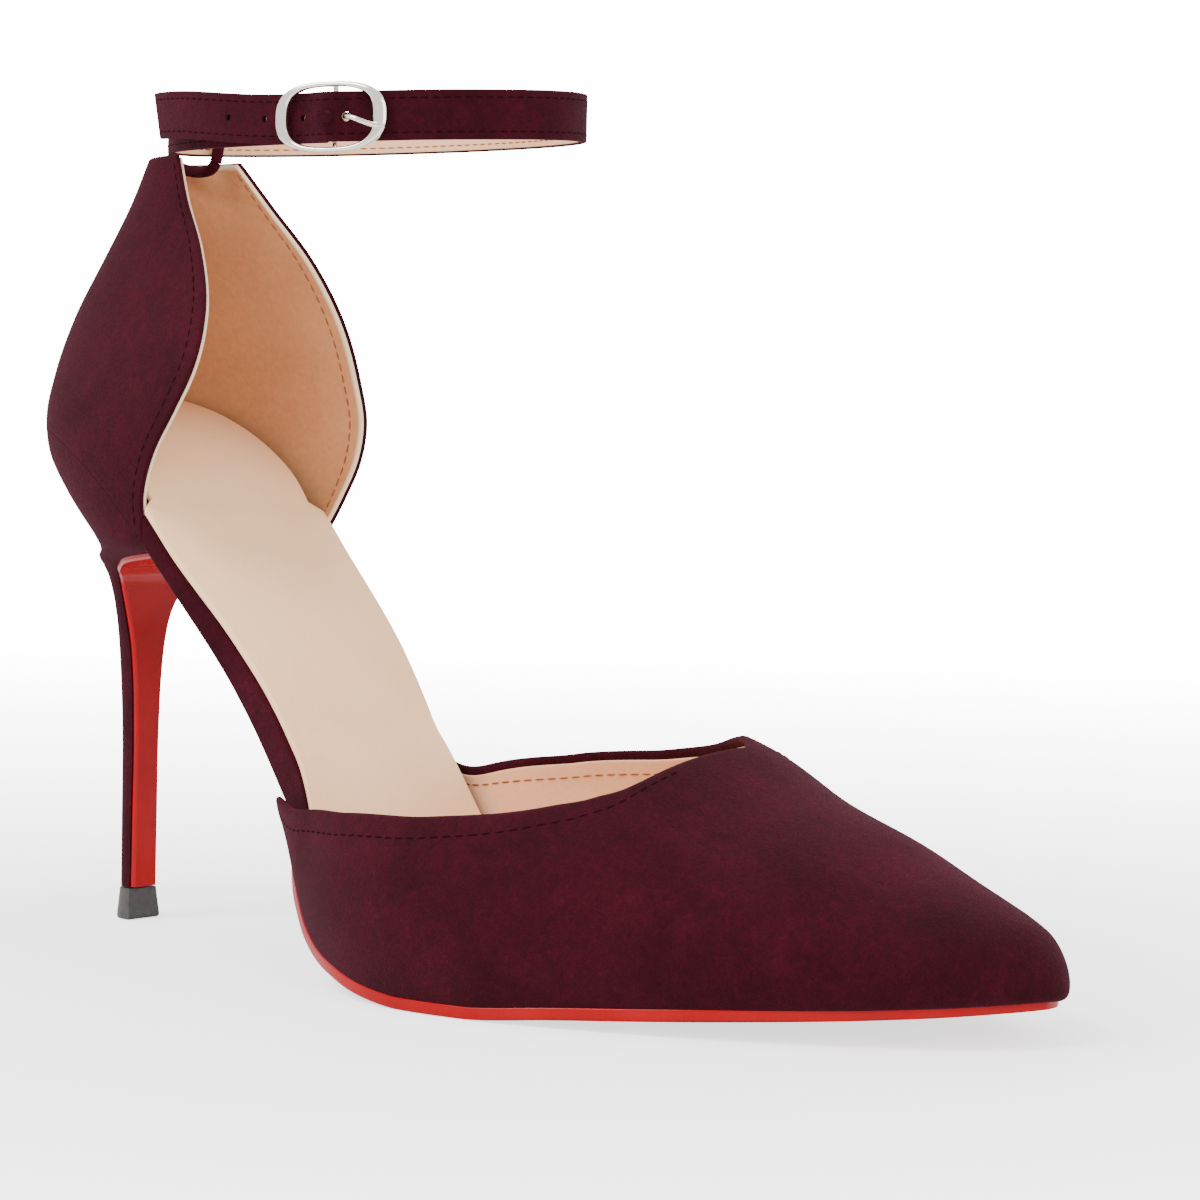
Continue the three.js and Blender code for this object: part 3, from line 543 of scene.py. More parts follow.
def stitch_row(name, lines, thread, slot, pitch=STITCH_PITCH, radius=STITCH_RADIUS):
    """Stitches along lines of points in millimetres."""
    mesh = bpy.data.meshes.new(name)
    points, edges = [], []
    for line in lines:
        edges += [(len(points) + i, len(points) + i + 1) for i in range(len(line) - 1)]
        points += [at(p) for p in line]
    mesh.from_pydata(points, edges, [])
    obj = add_object(name, mesh)
    modifier = obj.modifiers.new("Stitch row", "NODES")
    modifier.node_group = STITCH_GROUP
    values = {"Pitch": pitch, "Length": pitch * STITCH_SHARE, "Radius": radius, "Material": thread}
    for item in STITCH_GROUP.interface.items_tree:
        if item.in_out == "INPUT" and item.name in values:
            modifier[item.identifier] = values[item.name]
    bake_modifiers(obj)
    declare(obj, thread, slot)


def thread_material(name, light, dark):
    group, out, where = surface_group(name + " twist", roughness=False)
    twist = noise(group, where, 5200, 2)
    group.links.new(ramp(group, twist, [(0.35, dark), (0.65, light)]), out.inputs["Color"])
    bump(group, out, twist, 0.4, 0.00008)
    return material(name, group, {"Color": "Base Color", "Normal": "Normal"}, Roughness=0.9,
        Specular_IOR_Level=0.05)


def vamp_normal(x, angle):
    along = vamp_point(x + 0.2, angle) - vamp_point(x - 0.2, angle)
    around = vamp_point(x, angle + 0.01) - vamp_point(x, angle - 0.01)
    normal = along.cross(around).normalized()
    out = Vector((0, math.cos(math.pi - angle), math.sin(angle)))
    return normal if normal.dot(out) > 0 else -normal


def topline_stitches(drop, depth):
    """Line along the topline, a share below it and a depth under the outer face."""
    lines = []
    for side, curve, rear in ((1, lateral_topline, LATERAL_WING), (-1, medial_topline, MEDIAL_WING)):
        line = []
        for x in eased(rear + 1.5, THROAT - 0.5, 90, 0.7):
            angle = topline_angle(curve, (x - rear) / (THROAT - rear), drop)
            angle = angle if side > 0 else math.pi - angle
            line.append(vamp_point(x, angle) - vamp_normal(x, angle) * depth)
        lines.append(line)
    return lines


brown_thread = thread_material("Brown thread", (0.34, 0.13, 0.06), (0.20, 0.07, 0.03))
dark_thread = thread_material("Burgundy thread", (0.016, 0.0008, 0.0026), (0.007, 0.0003, 0.0012))
stitch_row("vamp_lining_stitches", topline_stitches(0.060, 1.84), brown_thread, "peach_lining")
stitch_row("vamp_stitches", topline_stitches(0.058, 0.04), dark_thread, "burgundy_suede")


# Heel quarter
# Suede back piece that rises from the seat and narrows to the ankle strap.
# Its lower edge is lasted under the insole board, its front edges stand free.

SEAT_LENGTH = 57.0
SEAT_HALF_WIDTH = 27.2
QUARTER_HEIGHT = 50.6
QUARTER_ROUNDNESS = 2.4
SEAT_HEIGHT = GROUND_STACK + HEEL_RISE
QUARTER_SUEDE = 1.05

# level, back, lateral front, medial front, half
QUARTER = [
    (-0.43, 0.352, 0.790, 0.795, 0.893),
    (-0.27, 0.198, 0.806, 0.865, 0.948),
    (-0.12, 0.082, 0.862, 0.925, 0.974),
    (0.03, 0.037, 0.942, 0.955, 0.960),
    (0.185, 0.045, 0.985, 0.960, 0.875),
    (0.42, 0.110, 0.957, 0.945, 0.710),
    (0.645, 0.225, 0.838, 0.875, 0.530),
    (0.84, 0.330, 0.700, 0.755, 0.385),
    (1.00, 0.400, 0.615, 0.650, 0.290),
]
back_share, lateral_front, medial_front, half_share = columns(QUARTER)


def quarter_at(z):
    """Back, two front edges and half width of the heel quarter's outer face at a height."""
    level = (z - SEAT_HEIGHT) / QUARTER_HEIGHT
    back, lateral, medial = (curve(level) * SEAT_LENGTH - SEAT_OVERHANG
        for curve in (back_share, lateral_front, medial_front))
    return back, lateral, medial, half_share(level) * SEAT_HALF_WIDTH


def bay_point(back, lateral, medial, half, z, share):
    """Point of a level section that is round behind and open or straight in front."""
    angle = (share - 0.5) * math.pi
    front = lateral if angle < 0 else medial
    side = math.copysign(abs(math.sin(angle)) ** (2 / QUARTER_ROUNDNESS), angle)
    depth = max(0.0, math.cos(angle)) ** (2 / QUARTER_ROUNDNESS)
    return Vector((front - (front - back) * depth, half * side, z))


def meeting_height(share, low, high, ground):
    """Height at which a line of the quarter reaches the ground line above it."""
    for _ in range(40):
        z = (low + high) / 2
        if z < ground(bay_point(*quarter_at(z), z, share).x):
            low = z
        else:
            high = z
    return low


def hem_height(share):
    """Height at which a line of the quarter meets the feather line."""
    return meeting_height(share, SEAT_HEIGHT - QUARTER_HEIGHT, SEAT_HEIGHT + QUARTER_HEIGHT, feather)


def fan_shares(count, power=1.35):
    """Shares round a section, closer together at its two ends."""
    steps = [2 * i / count - 1 for i in range(count + 1)]
    return [0.5 + 0.5 * math.copysign(1 - (1 - abs(s)) ** power, s) for s in steps]


def quarter_grid(across=130, up=90):
    top = SEAT_HEIGHT + QUARTER_HEIGHT
    shares = fan_shares(across)
    hems = [hem_height(s) for s in shares]
    rows = []
    for i in range(up + 1):
        row = []
        for s, hem in zip(shares, hems):
            z = mix(hem, top, i / up)
            row.append(bay_point(*quarter_at(z), z, s))
        rows.append(row)
    return [(rows, True)]


quarter = wall("heel_quarter", quarter_grid(), 0.0, QUARTER_SUEDE)
declare(quarter, suede, "burgundy_suede", "counter")


# Heel quarter lining
# Peach leather glued to the inside of the heel quarter, flush with its edges. Its face is painted darker
# and browner with the shade inside the heel cup, its folded edge is painted a pale cream as a painted
# highlight where light catches it, and brown stitches run along it.

QUARTER_STITCH_INSET = 2.4


def edge_lined(name, grain, edge):
    """Lining material whose rim is painted a paler colour, a painted highlight along the folded edge."""
    result = material(name, grain, ALL_THREE, Specular_IOR_Level=0.3)
    tree = result.node_tree
    shader = tree.nodes["Principled BSDF"]
    source = shader.inputs["Base Color"].links[0].from_socket
    # Painted highlight: the rounded rim is blended to the pale lit colour of the lining.
    rim = tree.nodes.new("ShaderNodeAttribute")
    rim.attribute_name = "rim"
    blend = tree.nodes.new("ShaderNodeMix")
    blend.data_type = "RGBA"
    blend.inputs["B"].default_value = (*edge, 1)
    tree.links.new(rim.outputs["Fac"], blend.inputs["Factor"])
    tree.links.new(source, blend.inputs["A"])
    tree.links.new(blend.outputs["Result"], shader.inputs["Base Color"])
    return result


# Painted shade: the peach lining in darker, browner colours for the inside of the heel cup, with a painted
# highlight on its rim.
quarter_lining_surface = edge_lined("Quarter lining painted lit edge and shade",
    grain_group("Quarter grain painted shade", (0.60, 0.29, 0.135), (0.48, 0.215, 0.095), 800), (0.86, 0.66, 0.44))
quarter_lining = wall("heel_quarter_lining", quarter_grid(), QUARTER_SUEDE - LINING_LAP, WALL)
declare(quarter_lining, quarter_lining_surface, "peach_lining", "counter")


def quarter_line(share, depth, count=80, low=0.03, high=0.97):
    """Line up the quarter at a share round it, a depth under the outer face."""
    line = []
    hem = hem_height(share)
    for i in range(count + 1):
        z = mix(hem, SEAT_HEIGHT + QUARTER_HEIGHT, mix(low, high, i / count))
        p = bay_point(*quarter_at(z), z, share)
        up = bay_point(*quarter_at(z + 0.3), z + 0.3, share) - p
        step = 0.004 if share < 0.5 else -0.004
        around = bay_point(*quarter_at(z), z, share + step) - p
        normal = up.cross(around).normalized()
        outward = Vector((0, -1 if share < 0.5 else 1, 0))
        if normal.dot(outward) < 0:
            normal = -normal
        line.append(p - normal * depth)
    return line


def inset_share(share_end, distance):
    """Share round the quarter a few millimetres behind its front edge."""
    z = SEAT_HEIGHT + QUARTER_HEIGHT * 0.3
    edge = bay_point(*quarter_at(z), z, share_end)
    step = 0.001 if share_end < 0.5 else -0.001
    share = share_end
    while (bay_point(*quarter_at(z), z, share) - edge).length < distance:
        share += step
    return share


near, far = inset_share(0.0, QUARTER_STITCH_INSET), inset_share(1.0, QUARTER_STITCH_INSET)
stitch_row("quarter_lining_stitches", [quarter_line(near, 1.86), quarter_line(far, 1.86)],
    brown_thread, "peach_lining")
stitch_row("quarter_stitches", [quarter_line(near, 0.05), quarter_line(far, 0.05)],
    dark_thread, "burgundy_suede")


# Insole board
# Stiff board with the shank in it, wrapped in suede where the waist is open.
# The foot's weight rests on it, and upper, heel and sole are glued to it.

BOARD_THICKNESS = 5.0
BOARD_TOE_GAP = 4.5
BOARD_VAMP_INSET = 1.0
SOCK_THICKNESS = 1.0
SHANK_END = 68.0
SHANK_BLEND = 14.0


def seat_half(x, growth, side):
    """Half width inside the quarter at the feather line, with side 0 lateral and 1 medial."""
    back, *fronts, half = quarter_at(feather(x))
    front = fronts[side]
    if x >= front:
        return math.inf
    reach = front - back - GROWTH + growth
    share = min(1.0, (front - x) / reach)
    return (half - GROWTH + growth) * (1 - share ** QUARTER_ROUNDNESS) ** (1 / QUARTER_ROUNDNESS)


def outline(x, growth):
    """Sides of the whole last, held inside the quarter at the seat."""
    left, right = forefoot_outline(x, growth)
    return max(left, -seat_half(x, growth, 0)), min(right, seat_half(x, growth, 1))


def board_top(x):
    stack = stack_share(place(x)) * BOARD_THICKNESS - SOCK_THICKNESS - CLEARANCE
    return feather(x) + stack * along_normal(x)


def slab(left, right, top, bottom, x, round_mm, segments=4):
    """Section across the shoe with rounded long edges."""
    r = max(0.01, min(round_mm, (right - left) / 4, (top - bottom) / 2.2))
    corners = ((left + r, bottom + r, 270, 180), (left + r, top - r, 180, 90),
        (right - r, top - r, 90, 0), (right - r, bottom + r, 0, -90))
    ring = []
    for y, z, start, end in corners:
        for k in range(segments + 1):
            angle = math.radians(mix(start, end, k / segments))
            ring.append(Vector((x, y + r * math.cos(angle), z + r * math.sin(angle))))
    return ring


def close_up(name, bm, sharp):
    """Object from a body whose meeting points are joined and whose faces look out."""
    bmesh.ops.remove_doubles(bm, verts=bm.verts, dist=0.002)
    bmesh.ops.dissolve_degenerate(bm, edges=bm.edges, dist=0.0005)
    bmesh.ops.recalc_face_normals(bm, faces=bm.faces)
    return finish_mesh(name, bm, sharp)


def loft(name, rings, closed=False, sharp=35.0):
    """Closed body through a row of sections of the same number of points."""
    bm = bmesh.new()
    verts = grid_faces(bm, rings + rings[:1] if closed else rings, closed=True)
    if not closed:
        bm.faces.new(verts[0][::-1])
        bm.faces.new(verts[-1])
    return close_up(name, bm, sharp)


def along(start, finish, round_start, round_finish, count):
    """Stations along the shoe, closer together in a rounded end."""
    rounded = [0, 0.004, 0.016, 0.04, 0.075, 0.125, 0.19, 0.27, 0.37, 0.5, 0.65, 0.82, 1]
    head = [start + s * round_start for s in rounded] if round_start else [start]
    tail = [finish - s * round_finish for s in reversed(rounded)] if round_finish else [finish]
    body = [mix(head[-1], tail[0], i / count) for i in range(1, count)]
    return head + body + tail


def board_sides(x, margin_lateral, margin_medial, medial_inset):
    """Sides of a piece on the board, drawn in where the vamp covers it."""
    under = smooth(x, SHANK_END - SHANK_BLEND, SHANK_END)
    left = outline(x, -margin_lateral - BOARD_VAMP_INSET * under)[0]
    right = outline(x, -margin_medial - medial_inset * under)[1]
    return left, right


seat_back = quarter_at(SEAT_HEIGHT)[0] + GROWTH
board_rings = []
for x in along(seat_back + 0.05, TOE_PLACE - BOARD_TOE_GAP, 8, TOE_ROUND, 120):
    left, right = board_sides(x, 0.0, 0.0, BOARD_VAMP_INSET)
    board_rings.append(slab(left, right, board_top(x), feather(x), x, 1.1))
insole_board = loft("insole_board", board_rings)
declare(insole_board, suede, "burgundy_suede", "insole_board")


# Insole sock
# Peach leather over a thin pad, glued on the board from the heel to the toes.
# The wearer's foot stands on it.

SOCK_MARGIN_LATERAL = 0.4
SOCK_MARGIN_MEDIAL = 1.8

sock_grain = grain_group("Sock grain", (1.0, 0.63, 0.36), (0.95, 0.55, 0.29), 1100)
sock_surface = material("Peach sock", sock_grain, ALL_THREE, Specular_IOR_Level=0.4)
sock_rings = []
for x in along(seat_back + SOCK_MARGIN_MEDIAL + 0.1, TOE_PLACE - TOE_ROUND, 8, 0, 140):
    left, right = board_sides(x, SOCK_MARGIN_LATERAL, SOCK_MARGIN_MEDIAL, 0.0)
    bottom = board_top(x) + CLEARANCE * along_normal(x) - 0.25
    top = board_top(x) + (CLEARANCE + SOCK_THICKNESS) * along_normal(x)
    sock_rings.append(slab(left, right, top, bottom, x, 0.55))
insole_sock = loft("insole_sock", sock_rings)
declare(insole_sock, sock_surface, "peach_lining", "insole_sock")


# Outsole
# Thin glossy red sole, glued under the board from the heel breast to the toe.
# It carries no mark.

SOLE_THICKNESS = 2.0
SOLE_INSET_LATERAL = 4.0
SOLE_INSET_MEDIAL = 1.2
SOLE_TOE_GAP = 1.8
# Where the heel's block runs out under the board
HEEL_FRONT = 24.0


def lacquer_group():
    group, out, where = surface_group("Red lacquer")
    haze = noise(group, where, 90, 3)
    ripple = noise(group, where, 240, 2)
    group.links.new(ramp(group, haze, [(0.3, (0.30, 0.0002, 0.002)), (0.7, (0.37, 0.0004, 0.003))]),
        out.inputs["Color"])
    roughen(group, out, haze, 0.12, 0.14)
    bump(group, out, ripple, 0.08, 0.0003)
    return group


red = material("Red sole", lacquer_group(), ALL_THREE, Specular_IOR_Level=0.12, Coat_Weight=0.06,
    Coat_Roughness=0.08)
sole_rings = []
sole_end = TOE_PLACE + GROWTH - 0.2
for x in along(HEEL_FRONT + CLEARANCE * 2, sole_end, 0, TOE_ROUND, 150):
    waist = smooth(SHANK_END - x, 0, SHANK_BLEND)
    left, right = outline(x, GROWTH)
    left += (SOLE_INSET_LATERAL + GROWTH) * waist
    right -= (SOLE_INSET_MEDIAL + GROWTH) * waist
    top = feather(x) - CLEARANCE * along_normal(x)
    pull = SOLE_TOE_GAP * smooth(x, THROAT, sole_end)
    sole_rings.append(slab(left, right, top + 0.15, top - SOLE_THICKNESS * along_normal(x), x - pull, 0.45))
outsole = loft("outsole", sole_rings)
declare(outsole, red, "red_sole", "outsole")


# Heel
# Moulded stiletto heel with suede wrapped round its sides and back.
# It is screwed up through the board, and its block follows the quarter.

HEEL_POST_HALF_WIDTH = 3.3
HEEL_POST_BACK = -4.7
HEEL_POST_FRONT = -0.5
TIP_HEIGHT = 6.0

# height, back, front, half
POST = [
    (0.0, 0.0, 0.0, 0.0),
    (0.20, 0.004, 0.000, 0.000),
    (0.42, 0.012, 0.000, 0.004),
    (0.51, 0.019, 0.000, 0.020),
    (0.58, 0.021, 0.000, 0.050),
    (0.635, 0.017, 0.002, 0.098),
    (0.68, 0.011, 0.015, 0.165),
    (0.715, 0.006, 0.042, 0.250),
    (0.737, -0.006, 0.095, 0.370),
    (0.755, -0.010, 0.215, 0.520),
]

corner = SEAT_HEIGHT + QUARTER[0][0] * QUARTER_HEIGHT
corner_back, corner_front, _, corner_half = quarter_at(corner)
heel_rows = [(max(TIP_HEIGHT + CLEARANCE, height * HEEL_RISE), HEEL_POST_BACK - back * SEAT_LENGTH,
    HEEL_POST_FRONT + front * SEAT_LENGTH, HEEL_POST_HALF_WIDTH + half * SEAT_HALF_WIDTH)
    for height, back, front, half in POST]
heel_rows.append((corner - GROUND_STACK, mix(heel_rows[-1][1], corner_back, 0.6), HEEL_FRONT,
    corner_half - GROWTH - CLEARANCE))
heel_back, heel_front, heel_half = columns(heel_rows + [(corner, corner_back, corner_front, corner_half)])


def seat_under(x):
    return feather(x) - CLEARANCE * along_normal(x)


def heel_mesh():
    bm = bmesh.new()
    shares = fan_shares(72)
    rows = []
    for i in range(91):
        z = mix(TIP_HEIGHT + CLEARANCE, corner, 1 - (1 - i / 90) ** 1.5)
        front = heel_front(z)
        rows.append([bay_point(heel_back(z), front, front, heel_half(z), z, s) for s in shares])
    hems = [meeting_height(s, corner, SEAT_HEIGHT + 4, seat_under) for s in shares]
    for i in range(1, 25):
        row = []
        for s, hem in zip(shares, hems):
            z = mix(corner, hem, i / 24)
            row.append(bay_point(*quarter_at(z), z, s))
        rows.append(row)
    verts = grid_faces(bm, rows, closed=True)
    bm.faces.new(verts[0])
    top = verts[-1]
    count = len(top)
    for j in range(count // 2):
        quad = [top[j], top[j + 1], top[count - 2 - j], top[count - 1 - j]]
        if len(set(quad)) >= 3:
            bm.faces.new(list(dict.fromkeys(quad)))
    return close_up("heel", bm, 40)


heel = heel_mesh()
declare(heel, suede, "burgundy_suede", "heel")


# Heel breast cover
# Red sheet glued down the front of the heel, in line with the sole.

BREAST_THICKNESS = 0.8

breast_rings = []
wing = corner - GROUND_STACK
heights = [mix(TIP_HEIGHT + CLEARANCE, wing, 1 - (1 - i / 80) ** 1.8) for i in range(81)]
for z in heights:
    here = Vector((heel_front(z), 0, z))
    ahead = Vector((heel_front(min(wing, z + 0.3)), 0, min(wing, z + 0.3)))
    behind = Vector((heel_front(z - 0.3), 0, z - 0.3))
    path = (ahead - behind).normalized()
    out = Vector((path.z, 0, -path.x))
    half = heel_half(z) - CLEARANCE
    inner = here + out * 0.1
    outer = here + out * (CLEARANCE + BREAST_THICKNESS)
    breast_rings.append([
        Vector((inner.x, -half, inner.z)), Vector((inner.x, half, inner.z)),
        Vector((mix(inner.x, outer.x, 0.6), half, mix(inner.z, outer.z, 0.6))),
        Vector((outer.x, half - 0.35, outer.z)), Vector((outer.x, -half + 0.35, outer.z)),
        Vector((mix(inner.x, outer.x, 0.6), -half, mix(inner.z, outer.z, 0.6))),
    ])
breast = loft("heel_breast_cover", breast_rings)
declare(breast, red, "red_sole", "heel_breast_cover")


# Heel tip
# Hard dark lift pressed on a pin under the heel, a little wider than the post.

TIP_FLARE = 0.8


def rubber_group():
    group, out, where = surface_group("Heel tip rubber")
    scuffs = noise(group, where, 700, 4, 0.6, 1.0)
    group.links.new(ramp(group, scuffs, [(0.3, (0.022, 0.021, 0.020)), (0.75, (0.055, 0.053, 0.050))]),
        out.inputs["Color"])
    roughen(group, out, scuffs, 0.3, 0.30)
    bump(group, out, scuffs, 0.15, 0.0001)
    return group


rubber = material("Heel tip plastic", rubber_group(), ALL_THREE, Specular_IOR_Level=0.5)
tip_rings = []
for z, flare in ((0, 0.7), (0.15, 0.85), (0.35, 0.95), (0.6, 1), (1.6, 0.87), (3, 0.68), (4.6, 0.47),
        (5.7, 0.36), (5.9, 0.3), (6, 0.2)):
    grow = flare * TIP_FLARE
    front = HEEL_POST_FRONT + grow
    tip_rings.append([bay_point(HEEL_POST_BACK - grow, front, front, HEEL_POST_HALF_WIDTH + grow, z, s)
        for s in fan_shares(60)])
heel_tip = loft("heel_tip", tip_rings)
declare(heel_tip, rubber, "tip_plastic", "heel_tip")


# Ankle strap
# Narrow suede strap lined with peach leather, folded round the buckle's bar.
# It goes through the loop at the back of the quarter, and its tail laps over itself.

STRAP_HEIGHT = 8.6
STRAP_THICKNESS = 1.6
STRAP_LINING = 0.55
RING_X, RING_Y, RING_LENGTH, RING_WIDTH, RING_BOTTOM = 54.1, 2.5, 42.0, 28.8, 147.0
STRAP_PITCH = -0.026
STRAP_ROLL = 0.1
BUCKLE_ANGLE = -1.17
TAIL_LENGTH = 42.0
TAIL_LIFT = 2.2
TAIL_STAND_OFF = 1.6
TAIL_FREE_START = 8.0
TAIL_LAP_START = 28.0
TAIL_LAP_BLEND = 16.0
TAIL_BUMP = 2.2
TAIL_BUMP_REACH = 3.4
TAIL_SLANT = 5.0
TAIL_SLANT_SHARE = 0.2
HOLE_SPACING = 8.0
HOLE_COUNT = 4
PRONG_HOLE = 2.8
BAR_RADIUS = 0.6
FOLD_WALL = 0.8
STRAP_STITCH_INSET = 1.35
STRAP_STITCH_PITCH = 0.0019
STRAP_STITCH_RADIUS = 0.00013
LAYER_PITCH = STRAP_THICKNESS + CLEARANCE
STRAP_MIDDLE = STRAP_HEIGHT / 2


def strap_point(angle, offset, height):
    """Place on the strap's oval: angle, offset outwards, height above its lower edge."""
    normal = Vector((math.cos(angle) / RING_LENGTH, math.sin(angle) / RING_WIDTH, 0)).normalized()
    x = RING_X + RING_LENGTH * math.cos(angle) + offset * normal.x
    y = RING_Y + RING_WIDTH * math.sin(angle) + offset * normal.y
    tilt = STRAP_PITCH * (x - RING_X) + STRAP_ROLL * (y - RING_Y)
    return Vector((x, y, RING_BOTTOM + tilt + height))


def strap_angle(start, distance):
    angle = start
    for _ in range(48):
        angle += distance / 48 / math.hypot(RING_LENGTH * math.sin(angle), RING_WIDTH * math.cos(angle))
    return angle


def tail_end(distance):
    return smooth(-distance, TAIL_FREE_START, TAIL_LENGTH)


def tail_offset(distance):
    join = smooth(-distance, -TAIL_LAP_START, TAIL_LAP_BLEND - TAIL_LAP_START)
    bump_up = TAIL_BUMP * math.exp(-((distance / TAIL_BUMP_REACH) ** 2))
    return LAYER_PITCH * join + bump_up + TAIL_STAND_OFF * tail_end(distance)


def strap_path(under=150, lap=170):
    """Angle, inner offset, lift and lean at each step along the strap."""
    start = strap_angle(BUCKLE_ANGLE, -(BAR_RADIUS + FOLD_WALL + CLEARANCE * 2))
    join = strap_angle(BUCKLE_ANGLE, TAIL_LAP_START)
    path = [(mix(start, join - 2 * math.pi, i / under), 0.0, 0.0, 0.0) for i in range(under + 1)]
    for i in range(1, lap + 1):
        share = i / lap
        distance = mix(TAIL_LAP_START, -TAIL_LENGTH, share)
        lean = -max(0.0, (share - 1) / TAIL_SLANT_SHARE + 1) ** 2 * TAIL_SLANT / RING_LENGTH
        path.append((strap_angle(BUCKLE_ANGLE, distance), tail_offset(distance),
            TAIL_LIFT * tail_end(distance), lean))
    return path


def strap_rings(inner, outer, edge, path):
    """Rounded sections of the strap between two offsets, short of its edges by edge."""
    rings = []
    r = (outer - inner) * 0.32
    for around, offset, lift, lean in path:
        ring = []
        corners = ((inner + r, edge + r, 270, 180), (inner + r, STRAP_HEIGHT - edge - r, 180, 90),
            (outer - r, STRAP_HEIGHT - edge - r, 90, 0), (outer - r, edge + r, 0, -90))
        for out, height, first, last in corners:
            for k in range(4):
                turn = math.radians(mix(first, last, k / 3))
                h = height + r * math.sin(turn)
                angle = around + lean * h / STRAP_HEIGHT
                ring.append(strap_point(angle, offset + out + r * math.cos(turn), lift + h))
        rings.append(ring)
    return rings


def bored(obj, holes):
    """Cuts round holes, each given by two points and a radius."""
    bm = bmesh.new()
    for start, end, radius in holes:
        axis = (end - start).normalized()
        turn = Vector((0, 0, 1)).rotation_difference(axis).to_matrix().to_4x4()
        spot = Matrix.Translation((start + end) / 2) @ turn
        bmesh.ops.create_cone(bm, cap_ends=True, segments=16, radius1=radius, radius2=radius,
            depth=(end - start).length, matrix=spot)
    cutter = finish_mesh("Cutter", bm)
    modifier = obj.modifiers.new("Holes", "BOOLEAN")
    modifier.object = cutter
    modifier.operation = "DIFFERENCE"
    modifier.solver = "EXACT"
    normals = obj.modifiers.new("Even normals", "WEIGHTED_NORMAL")
    normals.keep_sharp = True
    bake_modifiers(obj)
    bpy.data.objects.remove(cutter)


hole_spots = []
for i in range(HOLE_COUNT):
    distance = PRONG_HOLE - i * HOLE_SPACING
    angle = strap_angle(BUCKLE_ANGLE, distance)
    height = STRAP_MIDDLE + TAIL_LIFT * tail_end(distance)
    hole_spots.append((strap_point(angle, tail_offset(distance) - 0.15, height),
        strap_point(angle, tail_offset(distance) + 3.0, height), 0.9 if i == 0 else 0.6))

strap = loft("ankle_strap", strap_rings(STRAP_LINING - 0.05, STRAP_THICKNESS, 0.0, strap_path()), sharp=50)
bored(strap, hole_spots)
declare(strap, suede, "burgundy_suede", "ankle_strap")
strap_lining = loft("strap_lining", strap_rings(0.0, STRAP_LINING, 0.35, strap_path()), sharp=50)
bored(strap_lining, hole_spots)
declare(strap_lining, lining, "peach_lining", "ankle_strap")


def strap_line(offset, height, path):
    return [strap_point(a + lean * height / STRAP_HEIGHT, o + offset, lift + height)
        for a, o, lift, lean in path]


runs = strap_path()[2:-3]
edges = (STRAP_STITCH_INSET, STRAP_HEIGHT - STRAP_STITCH_INSET)
stitch_row("strap_stitches", [strap_line(STRAP_THICKNESS - 0.03, h, runs) for h in edges], dark_thread,
    "burgundy_suede", STRAP_STITCH_PITCH, STRAP_STITCH_RADIUS)
stitch_row("strap_lining_stitches", [strap_line(0.0, h, runs) for h in edges], brown_thread,
    "peach_lining", STRAP_STITCH_PITCH, STRAP_STITCH_RADIUS)


# Strap fold
# End of the strap turned back round the buckle's bar and stitched down.
# A slot in it lets the prong through.

PRONG_RADIUS = 0.45
FOLD_HALF_ANGLE = 0.72 * math.pi

bar_offset = LAYER_PITCH + TAIL_BUMP - 2 * CLEARANCE - FOLD_WALL - BAR_RADIUS
fold_in = BAR_RADIUS + CLEARANCE


def fold_rings(inner, outer, edge):
    rings = []
    for i in range(41):
        turn = mix(-FOLD_HALF_ANGLE, FOLD_HALF_ANGLE, i / 40)
        ring = []
        upper = STRAP_HEIGHT - edge
        for radius, height in ((inner, edge), (outer, edge), (outer, upper), (inner, upper)):
            angle = strap_angle(BUCKLE_ANGLE, radius * math.cos(turn))
            ring.append(strap_point(angle, bar_offset + radius * math.sin(turn), height))
        rings.append(ring)
    return rings


def buckle_points(pairs):
    return [strap_point(strap_angle(BUCKLE_ANGLE, d), o, STRAP_MIDDLE) for d, o in pairs]


strap_fold = loft("strap_fold", fold_rings(fold_in, fold_in + FOLD_WALL, 0.2))
slot_radius = PRONG_RADIUS + CLEARANCE * 2
fold_out = fold_in + FOLD_WALL
slot_ends = (buckle_points([(0, bar_offset + fold_in / 2), (0, bar_offset + 3 * fold_out)]),
    buckle_points([(fold_in / 2, bar_offset), (3 * fold_out, bar_offset + fold_in)]))
bored(strap_fold, [(a, b, slot_radius) for a, b in slot_ends])
declare(strap_fold, suede, "burgundy_suede", "strap_fold")


# Buckle
# Cast oval frame with a centre bar, polished and plated pale nickel.
# It is held by the strap fold, and its prong is bent round the same bar.

BUCKLE_LENGTH = 19.5
BUCKLE_HEIGHT = 12.1
BUCKLE_END_BAND = 2.2
BUCKLE_SIDE_BAND = 0.9
BUCKLE_THICKNESS = 1.4
BUCKLE_BOW = 0.6
BAR_WIRE_RADIUS = 0.45
frame_offset = LAYER_PITCH + STRAP_THICKNESS + 2 * CLEARANCE + BUCKLE_THICKNESS / 2


def metal_group():
    group, out, where = surface_group("Polished metal")
    smear = noise(group, where, 300, 3)
    scratch = noise(group, where, 2400, 2, 0.5, 2.0)
    group.links.new(ramp(group, smear, [(0.3, (0.80, 0.73, 0.64)), (0.7, (0.88, 0.83, 0.76))]),
        out.inputs["Color"])
    roughen(group, out, smear, 0.12, 0.07)
    bump(group, out, scratch, 0.03, 0.00005)
    return group


metal = material("Pale nickel", metal_group(), ALL_THREE, Metallic=1.0)


